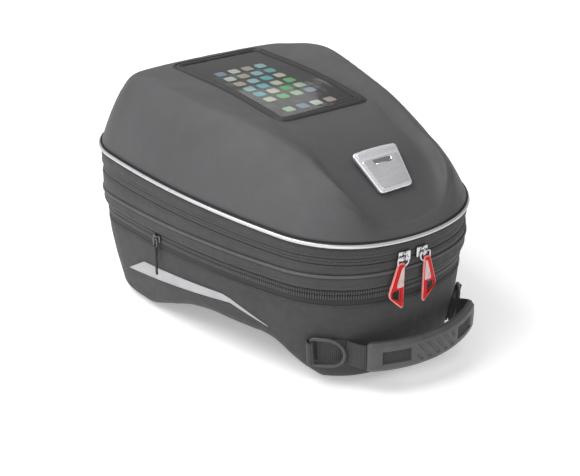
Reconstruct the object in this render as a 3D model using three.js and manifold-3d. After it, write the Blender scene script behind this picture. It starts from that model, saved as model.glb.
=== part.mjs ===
// Expandable ring-lock tank bag for a motorcycle, in millimetres.
// +Z is up, -Y is the rider's end (badge, zip pulls, carry handle) and +Y is the far end (lid hinge).
// Shapes are worked out about the middle of the bag's body. The finished assembly is then moved
// along Y, so that its origin is on the ground under the middle of its overall length and width.

import * as THREE from 'three';
import { mergeVertices } from 'three/addons/utils/BufferGeometryUtils.js';
import Module from 'manifold-3d';

const wasm = await Module();
wasm.setup();

// ---------------------------------------------------------------- driving dimensions

// Plan outline at the lid rim: arcs that meet tangentially, from the nose round to the far edge.
// A direction is the angle of the outward normal, turned from -Y towards -X, in degrees.
const NOSE_Y = -171.7;
const ARC_RADII = [150, 85.5, 730, 60.7];
const ARC_LIMITS = [0, 16.5, 72.1, 89.3, 173.9, 180];
const ARC_STEPS = [2, 6, 6, 6, 4];

// Heights of the layers. The rim and the main zip both rise towards the far end.
const RIM_HEIGHT = 146.2;
const RIM_SLOPE = 0.0559;
const ZIP_HEIGHT = 127.9;
const ZIP_SLOPE = 0.032;
const SHELL_TOP = 82;
const EXPANSION_ZIP_HEIGHT = 91.5;
const BAND_BOTTOM = 97.2;
const WELT_HEIGHT = 110;

const CLEARANCE = 0.3;
const FABRIC_WALL = 4;

// Heights between which holes are cut through the underside, and the depth of the window's cut.
const HOLE_LOW = 20;
const HOLE_HIGH = 60;
const CUT_DEPTH = 60;

// Arched underside: two ramps and a flat top, which clear the tank's hump.
const ARCH_HEIGHT = 31;
const ARCH_FAR_Y = 75;
const ARCH_FAR_SLOPE = 0.4;
const ARCH_NEAR_Y = -130;
const ARCH_NEAR_SLOPE = 0.75;
const ARCH_BLEND = 10;
const UNDERSIDE_INSET = 33;
const UNDERSIDE_SCALES = [0.2, 0.4, 0.6, 0.8, 0.93, 1];
const SKID_THICKNESS = 2;
const FLOOR_THICKNESS = 2.5;

// Lower wall: how far it leans in at the bottom, and the radius of the bottom edge.
const WALL_LEAN = 12;
const WALL_TOP_INSET = 3;
const WALL_CURVE = 1.6;
const BOTTOM_RADIUS = 14;

// Lid: a long sloping nose, a panel that tilts down to it from a level far part, and shoulder ridges.
const CREST_LEVEL = 210.2;
const CREST_SLOPE = 0.024;
const PANEL_LEVEL = 215.6;
const PANEL_TILT_LEVEL = 212.2;
const PANEL_TILT = 0.105;
const PANEL_BEND = 4;
const NOSE_PANEL_LEVEL = 163.5;
const NOSE_PANEL_SLOPE = 0.82;
const NOSE_PANEL_Y = -138;
const NOSE_BLEND = 40;
const RIDGE_LOW_Y = -55;
const RIDGE_LOW = 1.5;
const RIDGE_FAR_SLOPE = 0.075;
const RIDGE_END_Y = 135;
const RIDGE_END_SLOPE = 0.215;
const RIDGE_NEAR_CURVE = 0.002;
const RIDGE_NEAR_LIMIT = 14;
const RIDGE_START_X = 35;
const RIDGE_FULL_X = 55;
const FLANK_BULGE = 0.45;
const LID_WALL = 4;
const LID_EDGE_INSET = 0.6;

// [direction, distance]: how far the shoulder ridge lies inside the rim, and how wide its inner slope is.
const RIDGE_INSET = [[0, 11], [16.5, 12], [30, 15], [45, 28], [60, 37], [72.1, 41], [76, 45], [80, 43],
    [85, 38], [89.3, 34], [135, 30], [160, 27], [180, 27]];
const RIDGE_SLOPE_WIDTH = [[0, 8], [45, 10], [72.1, 12], [76, 17], [79, 22], [83, 25], [89.3, 25],
    [120, 20], [150, 9], [180, 8]];

// Phone window in the lid.
const WINDOW_NEAR_Y = -44.5;
const WINDOW_FAR_Y = 131;
const WINDOW_NEAR_HALF = 49.5;
const WINDOW_FAR_HALF = 51.5;
const WINDOW_CORNER = 11;
const WINDOW_BORDER = 4.7;
const PHONE_WIDTH = 76;
const PHONE_LENGTH = 156;
const PHONE_THICKNESS = 7.8;
const PHONE_NEAR_Y = -37.5;
const PHONE_SLOPE = 0.0495;
const PHONE_DEPTH = 0.9;
const POCKET_THICKNESS = 3;
const NET_RISE = 4;
const NET_INSET = 12;

// Metal badge on the nose slope.
const BADGE_LENGTH = 42;
const BADGE_HIGH_HALF = 24.2;
const BADGE_LOW_HALF = 17.8;
const BADGE_THICKNESS = 3.2;
const BADGE_Y = -123;
const BADGE_CORNER = 4;
const BADGE_FLARE = 0.6;
const BADGE_BEVEL = 1;

// Ring lock under the arch.
const LOCK_Y = -40;
const LOCK_RADIUS = 50;
const LOCK_RECESS_RADIUS = 34;
const LOCK_TOP = 24;
const LOCK_BOTTOM = 5;
const LOCK_RECESS_TOP = 16;
const BOSS_RADIUS = 22;
const BOSS_TOP = 31.8;
const SCREW_CIRCLE = 15;
const SCREW_RADIUS = 2;
const SCREW_LENGTH = 16;
const SCREW_HEAD_RADIUS = 4;
const SCREW_HEAD_HEIGHT = 2.4;
const COVER_THICKNESS = 2.2;

// Spring latch of the ring lock: a tongue in the recess, its stem, the pull strap and the tab.
const LATCH_HALF = 15;
const LATCH_BOTTOM = 8;
const LATCH_TOP = 15;
const STEM_HALF = 3;
const STEM_BOTTOM = 9.8;
const STEM_TOP = 13.8;
const STEM_END_X = 58;
const POCKET_END_X = 46;
const SPRING_START_X = 42;
const SPRING_LENGTH = 3.2;
const SPRING_TURNS = 3;
const SPRING_RADIUS = 4.1;
const SPRING_WIRE_RADIUS = 0.4;
const RELEASE_STRAP_HALF = 6;
const RELEASE_STRAP_THICKNESS = 1.6;
const RELEASE_STRAP_END_X = 100;
const TAB_LENGTH = 26;
const TAB_WIDTH = 20;
const TAB_THICKNESS = 4;
const TAB_HOLE_RADIUS = 5;

// Zips, trim and the folded gusset behind the expansion zip.
const ZIP_HALF = 2.9;
const HINGE_HALF_ANGLE = 4.7;
const PIPING_RADIUS = 2.3;
const WELT_RADIUS = 1.5;
const GUSSET_BOTTOM = 72;
const GUSSET_HEIGHT = 32;

// Sliders rest at these outline directions. The two main pulls are mirror images.
const SLIDER_LEFT = 7.3;
const SLIDER_RIGHT = 0.4;
const EXPANSION_SLIDER = 83.9;
const SLIDER_THICKNESS = 2.2;
const SLIDER_FACE = 2.5;
const BRIDGE_INNER = 2.5;
const BRIDGE_OUTER = 4.1;
const WIRE = 1.4;
const WIRE_KNEE = 0.75;
const PULL_AXIS = 1.2;
const PULL_LENGTH = 47;
const PULL_SHOULDER = 32;
const PULL_FLARE = 15.6;
const PULL_TOP = 7.5;
const EXPANSION_PULL_TOP = 7;
const EXPANSION_PULL_END = 36;
const EXPANSION_PULL_WIDTH = 2.8;

// Reflective flash: [distance along the bag, height] of its lower and upper edges, nose end first.
const FLASH_LOW_EDGE = [[-92.8, 47], [-53, 57.3], [-30, 54.3], [60, 42.5], [95, 38]];
const FLASH_HIGH_EDGE = [[-92.8, 47.6], [-54, 61.7], [-44, 63.7], [64, 56.9], [95, 38.6]];

// Webbing, D-rings and handle.
const WEBBING_HEIGHT = 24;
const WEBBING_Z = 36.5;
const WEBBING_OUTER = 53.5;
const WEBBING_INNER = 33;
const RING_SIZE = 32;
const RING_WIRE = 3.4;
const RING_STANDOFF = 4.1;
const RING_REST_TILT = 5;
const TAIL_X = 54.7;
const TAIL_Y = -158.5;
const GRIP_HALF = 56;
const GRIP_END_Y = -169.5;
const GRIP_MIDDLE_Y = -187.5;
const GRIP_HEIGHT = 27;
const GRIP_THICKNESS = 9;

// ---------------------------------------------------------------- plain helpers

const radians = degrees => degrees * Math.PI / 180;
const clamp = (value, low, high) => Math.min(Math.max(value, low), high);
const blend = (a, b, t) => a + (b - a) * t;

function smoothStep(low, high, value) {
    const t = clamp((value - low) / (high - low), 0, 1);
    return t * t * (3 - 2 * t);
}

function smoothMin(a, b, width) {
    const h = Math.max(width - Math.abs(a - b), 0) / width;
    return Math.min(a, b) - h * h * width / 4;
}

function lookUp(table, key) {
    for (let i = 1; i < table.length; i += 1) {
        const [lowKey, lowValue] = table[i - 1];
        const [highKey, highValue] = table[i];
        if (key <= highKey) {
            return blend(lowValue, highValue, (key - lowKey) / (highKey - lowKey));
        }
    }
    return table[table.length - 1][1];
}

// ---------------------------------------------------------------- the plan outline

// Centres of the arcs on the -X side, each found from the end of the arc before it.
function arcCentres() {
    const centres = [];
    let x = 0;
    let y = NOSE_Y;
    for (let i = 0; i < ARC_RADII.length; i += 1) {
        const start = radians(ARC_LIMITS[i]);
        const end = radians(ARC_LIMITS[i + 1]);
        const radius = ARC_RADII[i];
        const centre = { x: x + Math.sin(start) * radius, y: y + Math.cos(start) * radius, radius };
        centres.push(centre);
        x = centre.x - Math.sin(end) * radius;
        y = centre.y - Math.cos(end) * radius;
    }
    const last = radians(ARC_LIMITS[ARC_RADII.length]);
    const radius = -x / Math.sin(last);
    centres.push({ x: 0, y: y + Math.cos(last) * radius, radius });
    return centres;
}

const CENTRES = arcCentres();

// The point of the outline at a direction, moved outwards by offset. Negative directions are on the +X side.
function outlineAt(direction, offset) {
    const side = direction < 0 ? 1 : -1;
    const angle = Math.abs(direction);
    let arc = 0;
    while (arc < CENTRES.length - 1 && angle > ARC_LIMITS[arc + 1]) {
        arc += 1;
    }
    const { x, y, radius } = CENTRES[arc];
    const reach = radius + offset;
    return {
        x: -side * (x - Math.sin(radians(angle)) * reach),
        y: y - Math.cos(radians(angle)) * reach,
        normalX: side * Math.sin(radians(angle)),
        normalY: -Math.cos(radians(angle)),
    };
}

// Directions all the way round, from the nose by -X to the far edge and back by +X.
function allDirections() {
    const half = [0];
    for (let arc = 0; arc < ARC_STEPS.length; arc += 1) {
        for (let step = 1; step <= ARC_STEPS[arc]; step += 1) {
            half.push(blend(ARC_LIMITS[arc], ARC_LIMITS[arc + 1], step / ARC_STEPS[arc]));
        }
    }
    const back = half.slice(1, -1).reverse().map(direction => -direction);
    return [...half, ...back];
}

const AROUND = allDirections();

function steps(from, to, count) {
    return Array.from({ length: count + 1 }, (_, i) => blend(from, to, i / count));
}

const rimZ = y => RIM_HEIGHT + RIM_SLOPE * y;
const zipZ = y => ZIP_HEIGHT + ZIP_SLOPE * y;

function archZ(y) {
    const far = ARCH_FAR_SLOPE * (ARCH_FAR_Y - y);
    const near = ARCH_NEAR_SLOPE * (y - ARCH_NEAR_Y);
    return Math.max(smoothMin(smoothMin(far, near, ARCH_BLEND), ARCH_HEIGHT, ARCH_BLEND), 0);
}

// Inset of the lower wall from the rim, at a height.
function wallOffset(z) {
    const t = clamp((z - 8) / (SHELL_TOP - 8), 0, 1);
    return -(WALL_TOP_INSET + WALL_LEAN * Math.pow(1 - t, WALL_CURVE));
}

// ---------------------------------------------------------------- solids from grids of points

function signedVolume(points, triangles) {
    let total = 0;
    for (const [a, b, c] of triangles) {
        total += new THREE.Vector3().crossVectors(points[b], points[c]).dot(points[a]);
    }
    return total / 6;
}

function solidGeometry(points, triangles) {
    const inward = signedVolume(points, triangles) < 0;
    const geometry = new THREE.BufferGeometry();
    const places = points.flatMap(p => [p.x, p.y, p.z]);
    geometry.setAttribute('position', new THREE.Float32BufferAttribute(places, 3));
    geometry.setIndex(triangles.flatMap(([a, b, c]) => (inward ? [a, c, b] : [a, b, c])));
    return geometry;
}

// Joins rows of points. Rows or columns can close on themselves, a row end can close in a pole,
// and open columns close in a fan across the rows. Each quad is split along its shorter diagonal.
function gridSolid(rows, { rowsClosed = false, columnsClosed = false, firstPole = null, lastPole = null }) {
    const columns = rows[0].length;
    const points = rows.flat();
    const index = (row, column) => (row % rows.length) * columns + (column % columns);
    const triangles = [];
    const rowSpans = rowsClosed ? rows.length : rows.length - 1;
    const columnSpans = columnsClosed ? columns : columns - 1;
    for (let row = 0; row < rowSpans; row += 1) {
        for (let column = 0; column < columnSpans; column += 1) {
            const [a, b] = [index(row, column), index(row, column + 1)];
            const [c, d] = [index(row + 1, column + 1), index(row + 1, column)];
            const alongFirst = points[a].distanceTo(points[c]) <= points[b].distanceTo(points[d]);
            triangles.push(...(alongFirst ? [[a, b, c], [a, c, d]] : [[a, b, d], [b, c, d]]));
        }
    }
    if (firstPole) {
        points.push(firstPole);
        for (let column = 0; column < columnSpans; column += 1) {
            triangles.push([index(0, column + 1), index(0, column), points.length - 1]);
        }
    }
    if (lastPole) {
        points.push(lastPole);
        const last = rows.length - 1;
        for (let column = 0; column < columnSpans; column += 1) {
            triangles.push([index(last, column), index(last, column + 1), points.length - 1]);
        }
    }
    if (!columnsClosed) {
        for (let row = 1; row < rows.length - 1; row += 1) {
            triangles.push([index(0, 0), index(row, 0), index(row + 1, 0)]);
            triangles.push([index(0, columns - 1), index(row + 1, columns - 1), index(row, columns - 1)]);
        }
    }
    return solidGeometry(points, triangles);
}

// A hoop that follows the plan outline. Its section is a list of [offset, height(y)] corners.
function hoop(section, directions = AROUND) {
    const columnsClosed = directions === AROUND;
    const rows = section.map(([offset, height]) => directions.map(direction => {
        const p = outlineAt(direction, offset);
        return new THREE.Vector3(p.x, p.y, height(p.y));
    }));
    return gridSolid(rows, { rowsClosed: true, columnsClosed });
}

// A round cord as a hoop section, centred at an offset and a height.
function cordSection(radius, offset, height, sides) {
    return steps(0, 2 * Math.PI, sides).slice(0, sides).map(angle => [
        offset + Math.cos(angle) * radius,
        y => height(y) + Math.sin(angle) * radius,
    ]);
}

// ---------------------------------------------------------------- boolean work

// Merges shared corners, drops triangles with no area and turns the faces outwards.
function bareSolid(geometry) {
    const bare = geometry.clone();
    bare.deleteAttribute('normal');
    bare.deleteAttribute('uv');
    const merged = mergeVertices(bare, 1e-4);
    const position = merged.attributes.position;
    const corner = i => new THREE.Vector3().fromBufferAttribute(position, i);
    const points = Array.from({ length: position.count }, (_, i) => corner(i));
    const corners = merged.index.array;
    const triangles = [];
    for (let i = 0; i < corners.length; i += 3) {
        const [a, b, c] = corners.slice(i, i + 3);
        if (a !== b && b !== c && c !== a) {
            triangles.push([a, b, c]);
        }
    }
    return solidGeometry(points, triangles);
}

function toManifold(geometry) {
    const bare = bareSolid(geometry);
    return new wasm.Manifold(new wasm.Mesh({
        numProp: 3,
        vertProperties: new Float32Array(bare.attributes.position.array),
        triVerts: new Uint32Array(bare.index.array),
    }));
}

function fromManifold(solid) {
    const mesh = solid.getMesh();
    const geometry = new THREE.BufferGeometry();
    geometry.setAttribute('position', new THREE.BufferAttribute(mesh.vertProperties, 3));
    geometry.setIndex(new THREE.BufferAttribute(mesh.triVerts, 1));
    return geometry;
}

function cut(geometry, ...tools) {
    const start = toManifold(geometry);
    return fromManifold(tools.reduce((solid, tool) => solid.subtract(toManifold(tool)), start));
}

function join(geometry, ...others) {
    const start = toManifold(geometry);
    return fromManifold(others.reduce((solid, other) => solid.add(toManifold(other)), start));
}

// ---------------------------------------------------------------- placed shapes

// Axes of a place on the wall: x along the outline, y outwards and z up the wall, which may lean.
function wallFrame(direction, offset, z, leanDegrees = 0) {
    const p = outlineAt(direction, offset);
    const out = new THREE.Vector3(p.normalX, p.normalY, 0);
    const along = new THREE.Vector3().crossVectors(out, new THREE.Vector3(0, 0, 1));
    const matrix = new THREE.Matrix4().makeBasis(along, out, new THREE.Vector3(0, 0, 1));
    matrix.multiply(new THREE.Matrix4().makeRotationX(radians(-leanDegrees)));
    matrix.setPosition(p.x, p.y, z);
    return matrix;
}

function extrude(shape, depth, bevel = 0, curveSegments = 6) {
    const geometry = new THREE.ExtrudeGeometry(shape, {
        depth: depth - 2 * bevel,
        bevelEnabled: bevel > 0,
        bevelThickness: bevel,
        bevelSize: bevel,
        bevelOffset: -bevel,
        bevelSegments: 1,
        curveSegments,
    });
    return geometry.translate(0, 0, bevel - depth / 2);
}

function roundedRectangle(width, height, radius) {
    const shape = new THREE.Shape();
    const x = width / 2;
    const y = height / 2;
    shape.moveTo(-x + radius, -y);
    shape.lineTo(x - radius, -y);
    shape.absarc(x - radius, -y + radius, radius, -Math.PI / 2, 0);
    shape.lineTo(x, y - radius);
    shape.absarc(x - radius, y - radius, radius, 0, Math.PI / 2);
    shape.lineTo(-x + radius, y);
    shape.absarc(-x + radius, y - radius, radius, Math.PI / 2, Math.PI);
    shape.lineTo(-x, -y + radius);
    shape.absarc(-x + radius, -y + radius, radius, Math.PI, 1.5 * Math.PI);
    return shape;
}

// A shape from [x, y] corners, with one hole. The outline is turned anticlockwise, as extruding needs.
function holedShape(outline, hole) {
    const points = outline.map(([x, y]) => new THREE.Vector2(x, y));
    const shape = new THREE.Shape(THREE.ShapeUtils.isClockWise(points) ? points.reverse() : points);
    shape.holes.push(new THREE.Path(hole.map(([x, y]) => new THREE.Vector2(x, y))));
    return shape;
}

function cylinder(radius, low, high, x, y, sides = 16) {
    const geometry = new THREE.CylinderGeometry(radius, radius, high - low, sides);
    return geometry.rotateX(Math.PI / 2).translate(x, y, (low + high) / 2);
}

function box(low, high) {
    const size = low.map((value, axis) => high[axis] - value);
    const middle = low.map((value, axis) => (value + high[axis]) / 2);
    return new THREE.BoxGeometry(...size).translate(...middle);
}

// ---------------------------------------------------------------- lower body

// One ring of points on the arch, lifted by a rise. Every sheet of the underside uses the same rings.
function underRow(scale, rise) {
    return AROUND.map(direction => {
        const p = outlineAt(direction, -UNDERSIDE_INSET);
        const y = p.y * scale;
        return new THREE.Vector3(p.x * scale, y, archZ(y) + rise);
    });
}

// Rows from the middle of the underside, up the outside, over the top edge and down the inside.
function lowerShell() {
    const lift = SKID_THICKNESS + CLEARANCE;
    const wallRow = (fraction, inset) => AROUND.map(direction => {
        const flat = outlineAt(direction, -WALL_TOP_INSET - WALL_LEAN);
        const low = archZ(flat.y) + lift + BOTTOM_RADIUS;
        const z = blend(low, SHELL_TOP, fraction);
        const p = outlineAt(direction, wallOffset(z) - inset);
        return new THREE.Vector3(p.x, p.y, z);
    });
    const edgeRow = (angle, inset) => AROUND.map(direction => {
        const flat = outlineAt(direction, -WALL_TOP_INSET - WALL_LEAN);
        const low = archZ(flat.y) + lift;
        const radius = BOTTOM_RADIUS - inset;
        const offset = wallOffset(low + BOTTOM_RADIUS) - inset - radius * (1 - Math.sin(angle));
        const p = outlineAt(direction, offset);
        return new THREE.Vector3(p.x, p.y, low + BOTTOM_RADIUS - radius * Math.cos(angle));
    });
    const edgeAngles = [0.15, 0.6, 1.1];
    const heights = [0, 0.3, 0.62, 1];
    const outer = [
        ...UNDERSIDE_SCALES.map(scale => underRow(scale, lift)),
        ...edgeAngles.map(angle => edgeRow(angle, 0)),
        ...heights.map(fraction => wallRow(fraction, 0)),
    ];
    const inner = [
        ...heights.map(fraction => wallRow(fraction, FABRIC_WALL)).reverse(),
        ...edgeAngles.map(angle => edgeRow(angle, FABRIC_WALL)).reverse(),
        ...[...UNDERSIDE_SCALES].reverse().map(scale => underRow(scale, lift + FABRIC_WALL)),
    ];
    const shell = gridSolid([...outer, ...inner], {
        columnsClosed: true,
        firstPole: new THREE.Vector3(0, 0, archZ(0) + lift),
        lastPole: new THREE.Vector3(0, 0, archZ(0) + lift + FABRIC_WALL),
    });
    return cut(shell, ...screwHoles());
}

// A sheet that follows the arch, between two heights above it.
function archSheet(scales, low, high) {
    const under = scales.map(scale => underRow(scale, low));
    const over = scales.map(scale => underRow(scale, high)).reverse();
    return gridSolid([...under, ...over], {
        columnsClosed: true,
        firstPole: new THREE.Vector3(0, 0, archZ(0) + low),
        lastPole: new THREE.Vector3(0, 0, archZ(0) + high),
    });
}

function baseSkid() {
    const sheet = archSheet(UNDERSIDE_SCALES, 0, SKID_THICKNESS);
    return cut(sheet, cylinder(BOSS_RADIUS + 4, HOLE_LOW, HOLE_HIGH, 0, LOCK_Y, 32));
}

function screwPlaces() {
    return [45, 135, 225, 315].map(angle => [
        SCREW_CIRCLE * Math.cos(radians(angle)),
        LOCK_Y + SCREW_CIRCLE * Math.sin(radians(angle)),
    ]);
}

function screwHoles() {
    return screwPlaces().map(([x, y]) => cylinder(SCREW_RADIUS + CLEARANCE, HOLE_LOW, HOLE_HIGH, x, y, 12));
}

function floorPlate() {
    const low = SKID_THICKNESS + FABRIC_WALL + 2 * CLEARANCE;
    return cut(archSheet(UNDERSIDE_SCALES.slice(0, -1), low, low + FLOOR_THICKNESS), ...screwHoles());
}

function lockHousing() {
    const profile = [
        [0, LOCK_RECESS_TOP], [LOCK_RECESS_RADIUS, LOCK_RECESS_TOP], [LOCK_RECESS_RADIUS, LOCK_BOTTOM + 2.5],
        [LOCK_RADIUS, LOCK_BOTTOM + 2.5], [LOCK_RADIUS, LOCK_TOP], [BOSS_RADIUS + 2, LOCK_TOP],
        [BOSS_RADIUS, LOCK_TOP + 2], [BOSS_RADIUS, BOSS_TOP], [0, BOSS_TOP],
    ];
    const body = new THREE.LatheGeometry(profile.map(([r, z]) => new THREE.Vector2(r, z)), 40);
    body.rotateX(Math.PI / 2).translate(0, LOCK_Y, 0);
    const pocketHalf = LATCH_HALF + 1;
    const pocketTop = LATCH_TOP + 2.5;
    const pocket = box([LOCK_RECESS_RADIUS - 4, LOCK_Y - pocketHalf, 0],
        [POCKET_END_X, LOCK_Y + pocketHalf, pocketTop]);
    const slotHalf = STEM_HALF + 0.6;
    const slot = box([SPRING_START_X - 2, LOCK_Y - slotHalf, STEM_BOTTOM - 0.8],
        [STEM_END_X + 2, LOCK_Y + slotHalf, STEM_TOP + 0.4]);
    return cut(body, pocket, slot, ...screwHoles());
}

function lockCover() {
    const ring = new THREE.Shape();
    ring.absarc(0, 0, LOCK_RADIUS, 0, 2 * Math.PI);
    const hole = new THREE.Path();
    hole.absarc(0, 0, LOCK_RECESS_RADIUS, 0, 2 * Math.PI, true);
    ring.holes.push(hole);
    return extrude(ring, COVER_THICKNESS, 0, 24).translate(0, LOCK_Y, LOCK_BOTTOM + COVER_THICKNESS / 2);
}

function lockScrew([x, y]) {
    const headZ = archZ(LOCK_Y) + SKID_THICKNESS + FABRIC_WALL + FLOOR_THICKNESS + 3 * CLEARANCE;
    const tip = headZ - SCREW_LENGTH;
    const crown = headZ + SCREW_HEAD_HEIGHT;
    const profile = [[0, tip], [SCREW_RADIUS, tip], [SCREW_RADIUS, headZ], [SCREW_HEAD_RADIUS, headZ],
        [SCREW_HEAD_RADIUS, crown - 1], [SCREW_HEAD_RADIUS - 1.4, crown], [0, crown]];
    const screw = new THREE.LatheGeometry(profile.map(([r, z]) => new THREE.Vector2(r, z)), 12);
    return screw.rotateX(Math.PI / 2).translate(x, y, 0);
}

function lockLatch() {
    const tongue = box([LOCK_RECESS_RADIUS - 5, LOCK_Y - LATCH_HALF, LATCH_BOTTOM],
        [LOCK_RECESS_RADIUS + 2, LOCK_Y + LATCH_HALF, LATCH_TOP]);
    const stem = box([LOCK_RECESS_RADIUS + 1, LOCK_Y - STEM_HALF, STEM_BOTTOM],
        [STEM_END_X, LOCK_Y + STEM_HALF, STEM_TOP]);
    return join(tongue, stem);
}

const STEM_Z = (STEM_BOTTOM + STEM_TOP) / 2;

// Helical return spring round the latch stem, at its squeezed length.
function latchSpring() {
    class Helix extends THREE.Curve {
        getPoint(t) {
            const angle = 2 * Math.PI * SPRING_TURNS * t;
            return new THREE.Vector3(
                SPRING_START_X + SPRING_LENGTH * t,
                LOCK_Y + SPRING_RADIUS * Math.cos(angle),
                STEM_Z + SPRING_RADIUS * Math.sin(angle),
            );
        }
    }
    const wire = new THREE.Shape();
    wire.absarc(0, 0, SPRING_WIRE_RADIUS, 0, 2 * Math.PI);
    return new THREE.ExtrudeGeometry(wire, { steps: 36, extrudePath: new Helix(), curveSegments: 2 });
}

function releaseStrap() {
    const half = RELEASE_STRAP_THICKNESS / 2;
    const middle = STEM_Z - 0.2;
    return box([STEM_END_X + CLEARANCE, LOCK_Y - RELEASE_STRAP_HALF, middle - half],
        [RELEASE_STRAP_END_X, LOCK_Y + RELEASE_STRAP_HALF, middle + half]);
}

function releaseTab() {
    const shape = roundedRectangle(TAB_LENGTH, TAB_WIDTH, 6);
    const hole = new THREE.Path();
    hole.absarc(3, 0, TAB_HOLE_RADIUS, 0, 2 * Math.PI, true);
    shape.holes.push(hole);
    const x = RELEASE_STRAP_END_X + CLEARANCE + TAB_LENGTH / 2;
    return extrude(shape, TAB_THICKNESS, 0.6, 5).translate(x, LOCK_Y, STEM_Z - 0.2);
}

// A ribbon lying on the lower wall, from one direction to another.
function wallRibbon(from, to, standoff, thickness, low, high) {
    const levels = steps(low, high, 2);
    const section = [
        ...levels.map(z => [wallOffset(z) + standoff, z]),
        ...levels.reverse().map(z => [wallOffset(z) + standoff + thickness, z]),
    ];
    return hoop(section.map(([offset, z]) => [offset, () => z]), steps(from, to, 8));
}

const wallLean = z => Math.atan2(wallOffset(z + 12) - wallOffset(z - 12), 24) * 180 / Math.PI;

function ringFrame(side) {
    return wallFrame(side * WEBBING_OUTER, wallOffset(WEBBING_Z), WEBBING_Z, wallLean(WEBBING_Z));
}

function webbing(side) {
    const half = WEBBING_HEIGHT / 2;
    const low = WEBBING_Z - half;
    const strap = wallRibbon(side * WEBBING_OUTER, side * WEBBING_INNER, 0.4, 1.4, low, low + WEBBING_HEIGHT);
    const eye = new THREE.Shape();
    eye.absarc(0, 0, 3.7, 0, 2 * Math.PI);
    const hole = new THREE.Path();
    hole.absarc(0, 0, RING_WIRE / 2 + 0.4, 0, 2 * Math.PI, true);
    eye.holes.push(hole);
    const loop = extrude(eye, WEBBING_HEIGHT, 0, 8).translate(0, RING_STANDOFF, 0);
    return join(strap, loop.applyMatrix4(ringFrame(side)));
}

function dRing(side) {
    const half = RING_SIZE / 2;
    const straight = RING_SIZE - half - RING_WIRE / 2;
    const outer = new THREE.Shape();
    outer.moveTo(-RING_WIRE / 2, -half + 3);
    outer.lineTo(-RING_WIRE / 2 + 3, -half);
    outer.lineTo(straight, -half);
    outer.absarc(straight, 0, half, -Math.PI / 2, Math.PI / 2);
    outer.lineTo(-RING_WIRE / 2 + 3, half);
    outer.lineTo(-RING_WIRE / 2, half - 3);
    const inner = new THREE.Path();
    const bore = half - RING_WIRE;
    inner.moveTo(RING_WIRE / 2, -bore);
    inner.lineTo(RING_WIRE / 2, bore);
    inner.lineTo(straight, bore);
    inner.absarc(straight, 0, bore, Math.PI / 2, -Math.PI / 2, true);
    outer.holes.push(inner);
    const ring = extrude(outer, RING_WIRE, 0.7, 8).rotateX(Math.PI / 2);
    // The bow points to the nose, which is local -x on the -X side of the bag, and leans on the webbing.
    ring.rotateZ(radians(-RING_REST_TILT)).rotateY(side > 0 ? Math.PI : 0);
    return ring.translate(0, RING_STANDOFF, 0).applyMatrix4(ringFrame(side));
}

// The carry handle's plan line: an arc between the two grip ends.
function gripArc(share, count) {
    const sagitta = GRIP_END_Y - GRIP_MIDDLE_Y;
    const radius = (GRIP_HALF ** 2 + sagitta ** 2) / (2 * sagitta);
    const reach = Math.asin(GRIP_HALF / radius) * share;
    return steps(-reach, reach, count).map(angle => new THREE.Vector2(
        Math.sin(angle) * radius,
        GRIP_MIDDLE_Y + radius - Math.cos(angle) * radius,
    ));
}

// A ribbon standing on edge: a plan line thickened both ways and raised between two heights.
function standingRibbon(line, thickness, low, high, bevel = 0) {
    const sides = [1, -1].map(sign => line.map((point, i) => {
        const before = line[Math.max(i - 1, 0)];
        const after = line[Math.min(i + 1, line.length - 1)];
        const along = after.clone().sub(before).normalize();
        const aside = new THREE.Vector2(-along.y, along.x).multiplyScalar(sign * thickness / 2);
        return point.clone().add(aside);
    }));
    const shape = new THREE.Shape([...sides[0], ...sides[1].reverse()]);
    return extrude(shape, high - low, bevel).translate(0, 0, (low + high) / 2);
}

function handleLine() {
    return [new THREE.Vector2(-TAIL_X, TAIL_Y), ...gripArc(1, 16), new THREE.Vector2(TAIL_X, TAIL_Y)];
}

function handleStrap() {
    const half = WEBBING_HEIGHT / 2 - 0.5;
    return standingRibbon(handleLine(), 1.6, WEBBING_Z - half, WEBBING_Z + half);
}

function handleGrip() {
    const half = GRIP_HEIGHT / 2;
    const grip = standingRibbon(gripArc(0.97, 16), GRIP_THICKNESS, WEBBING_Z - half, WEBBING_Z + half, 1.5);
    const tunnelHalf = WEBBING_HEIGHT / 2 - 0.2;
    const tunnel = standingRibbon(handleLine(), 2.4, WEBBING_Z - tunnelHalf, WEBBING_Z + tunnelHalf);
    return cut(grip, tunnel);
}

// Direction on the flank arc at a distance along the bag.
function flankDirection(y) {
    const flank = CENTRES[2];
    return Math.acos((flank.y - y) / flank.radius) * 180 / Math.PI;
}

// Reflective flash on the flank: pointed at the far end, with a thin tail towards the nose.
function reflector(side) {
    const [nearY, farY] = [FLASH_LOW_EDGE[0][0], FLASH_LOW_EDGE.at(-1)[0]];
    const directions = steps(flankDirection(nearY), flankDirection(farY), 22);
    const corner = (direction, share, standoff) => {
        const y = outlineAt(direction, 0).y;
        const z = blend(lookUp(FLASH_LOW_EDGE, y), lookUp(FLASH_HIGH_EDGE, y), share);
        const p = outlineAt(side * direction, wallOffset(z) + standoff);
        return new THREE.Vector3(p.x, p.y, z);
    };
    const section = [[0, 0.5], [0.5, 0.5], [1, 0.5], [1, 1.1], [0.5, 1.1], [0, 1.1]];
    const rows = section.map(([share, standoff]) => directions.map(angle => corner(angle, share, standoff)));
    return gridSolid(rows, { rowsClosed: true });
}

// ---------------------------------------------------------------- zips, bands and piping

const level = z => () => z;

function zipTape(low, high, inset) {
    return [[-inset - 4, low], [-inset, low], [-inset, high], [-inset - 4, high]];
}

function expansionZipLower() {
    return hoop(zipTape(level(SHELL_TOP + CLEARANCE), level(EXPANSION_ZIP_HEIGHT - 0.15), WALL_TOP_INSET));
}

function expansionZipUpper() {
    return hoop(zipTape(level(EXPANSION_ZIP_HEIGHT + 0.15), level(BAND_BOTTOM - CLEARANCE), WALL_TOP_INSET));
}

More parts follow.
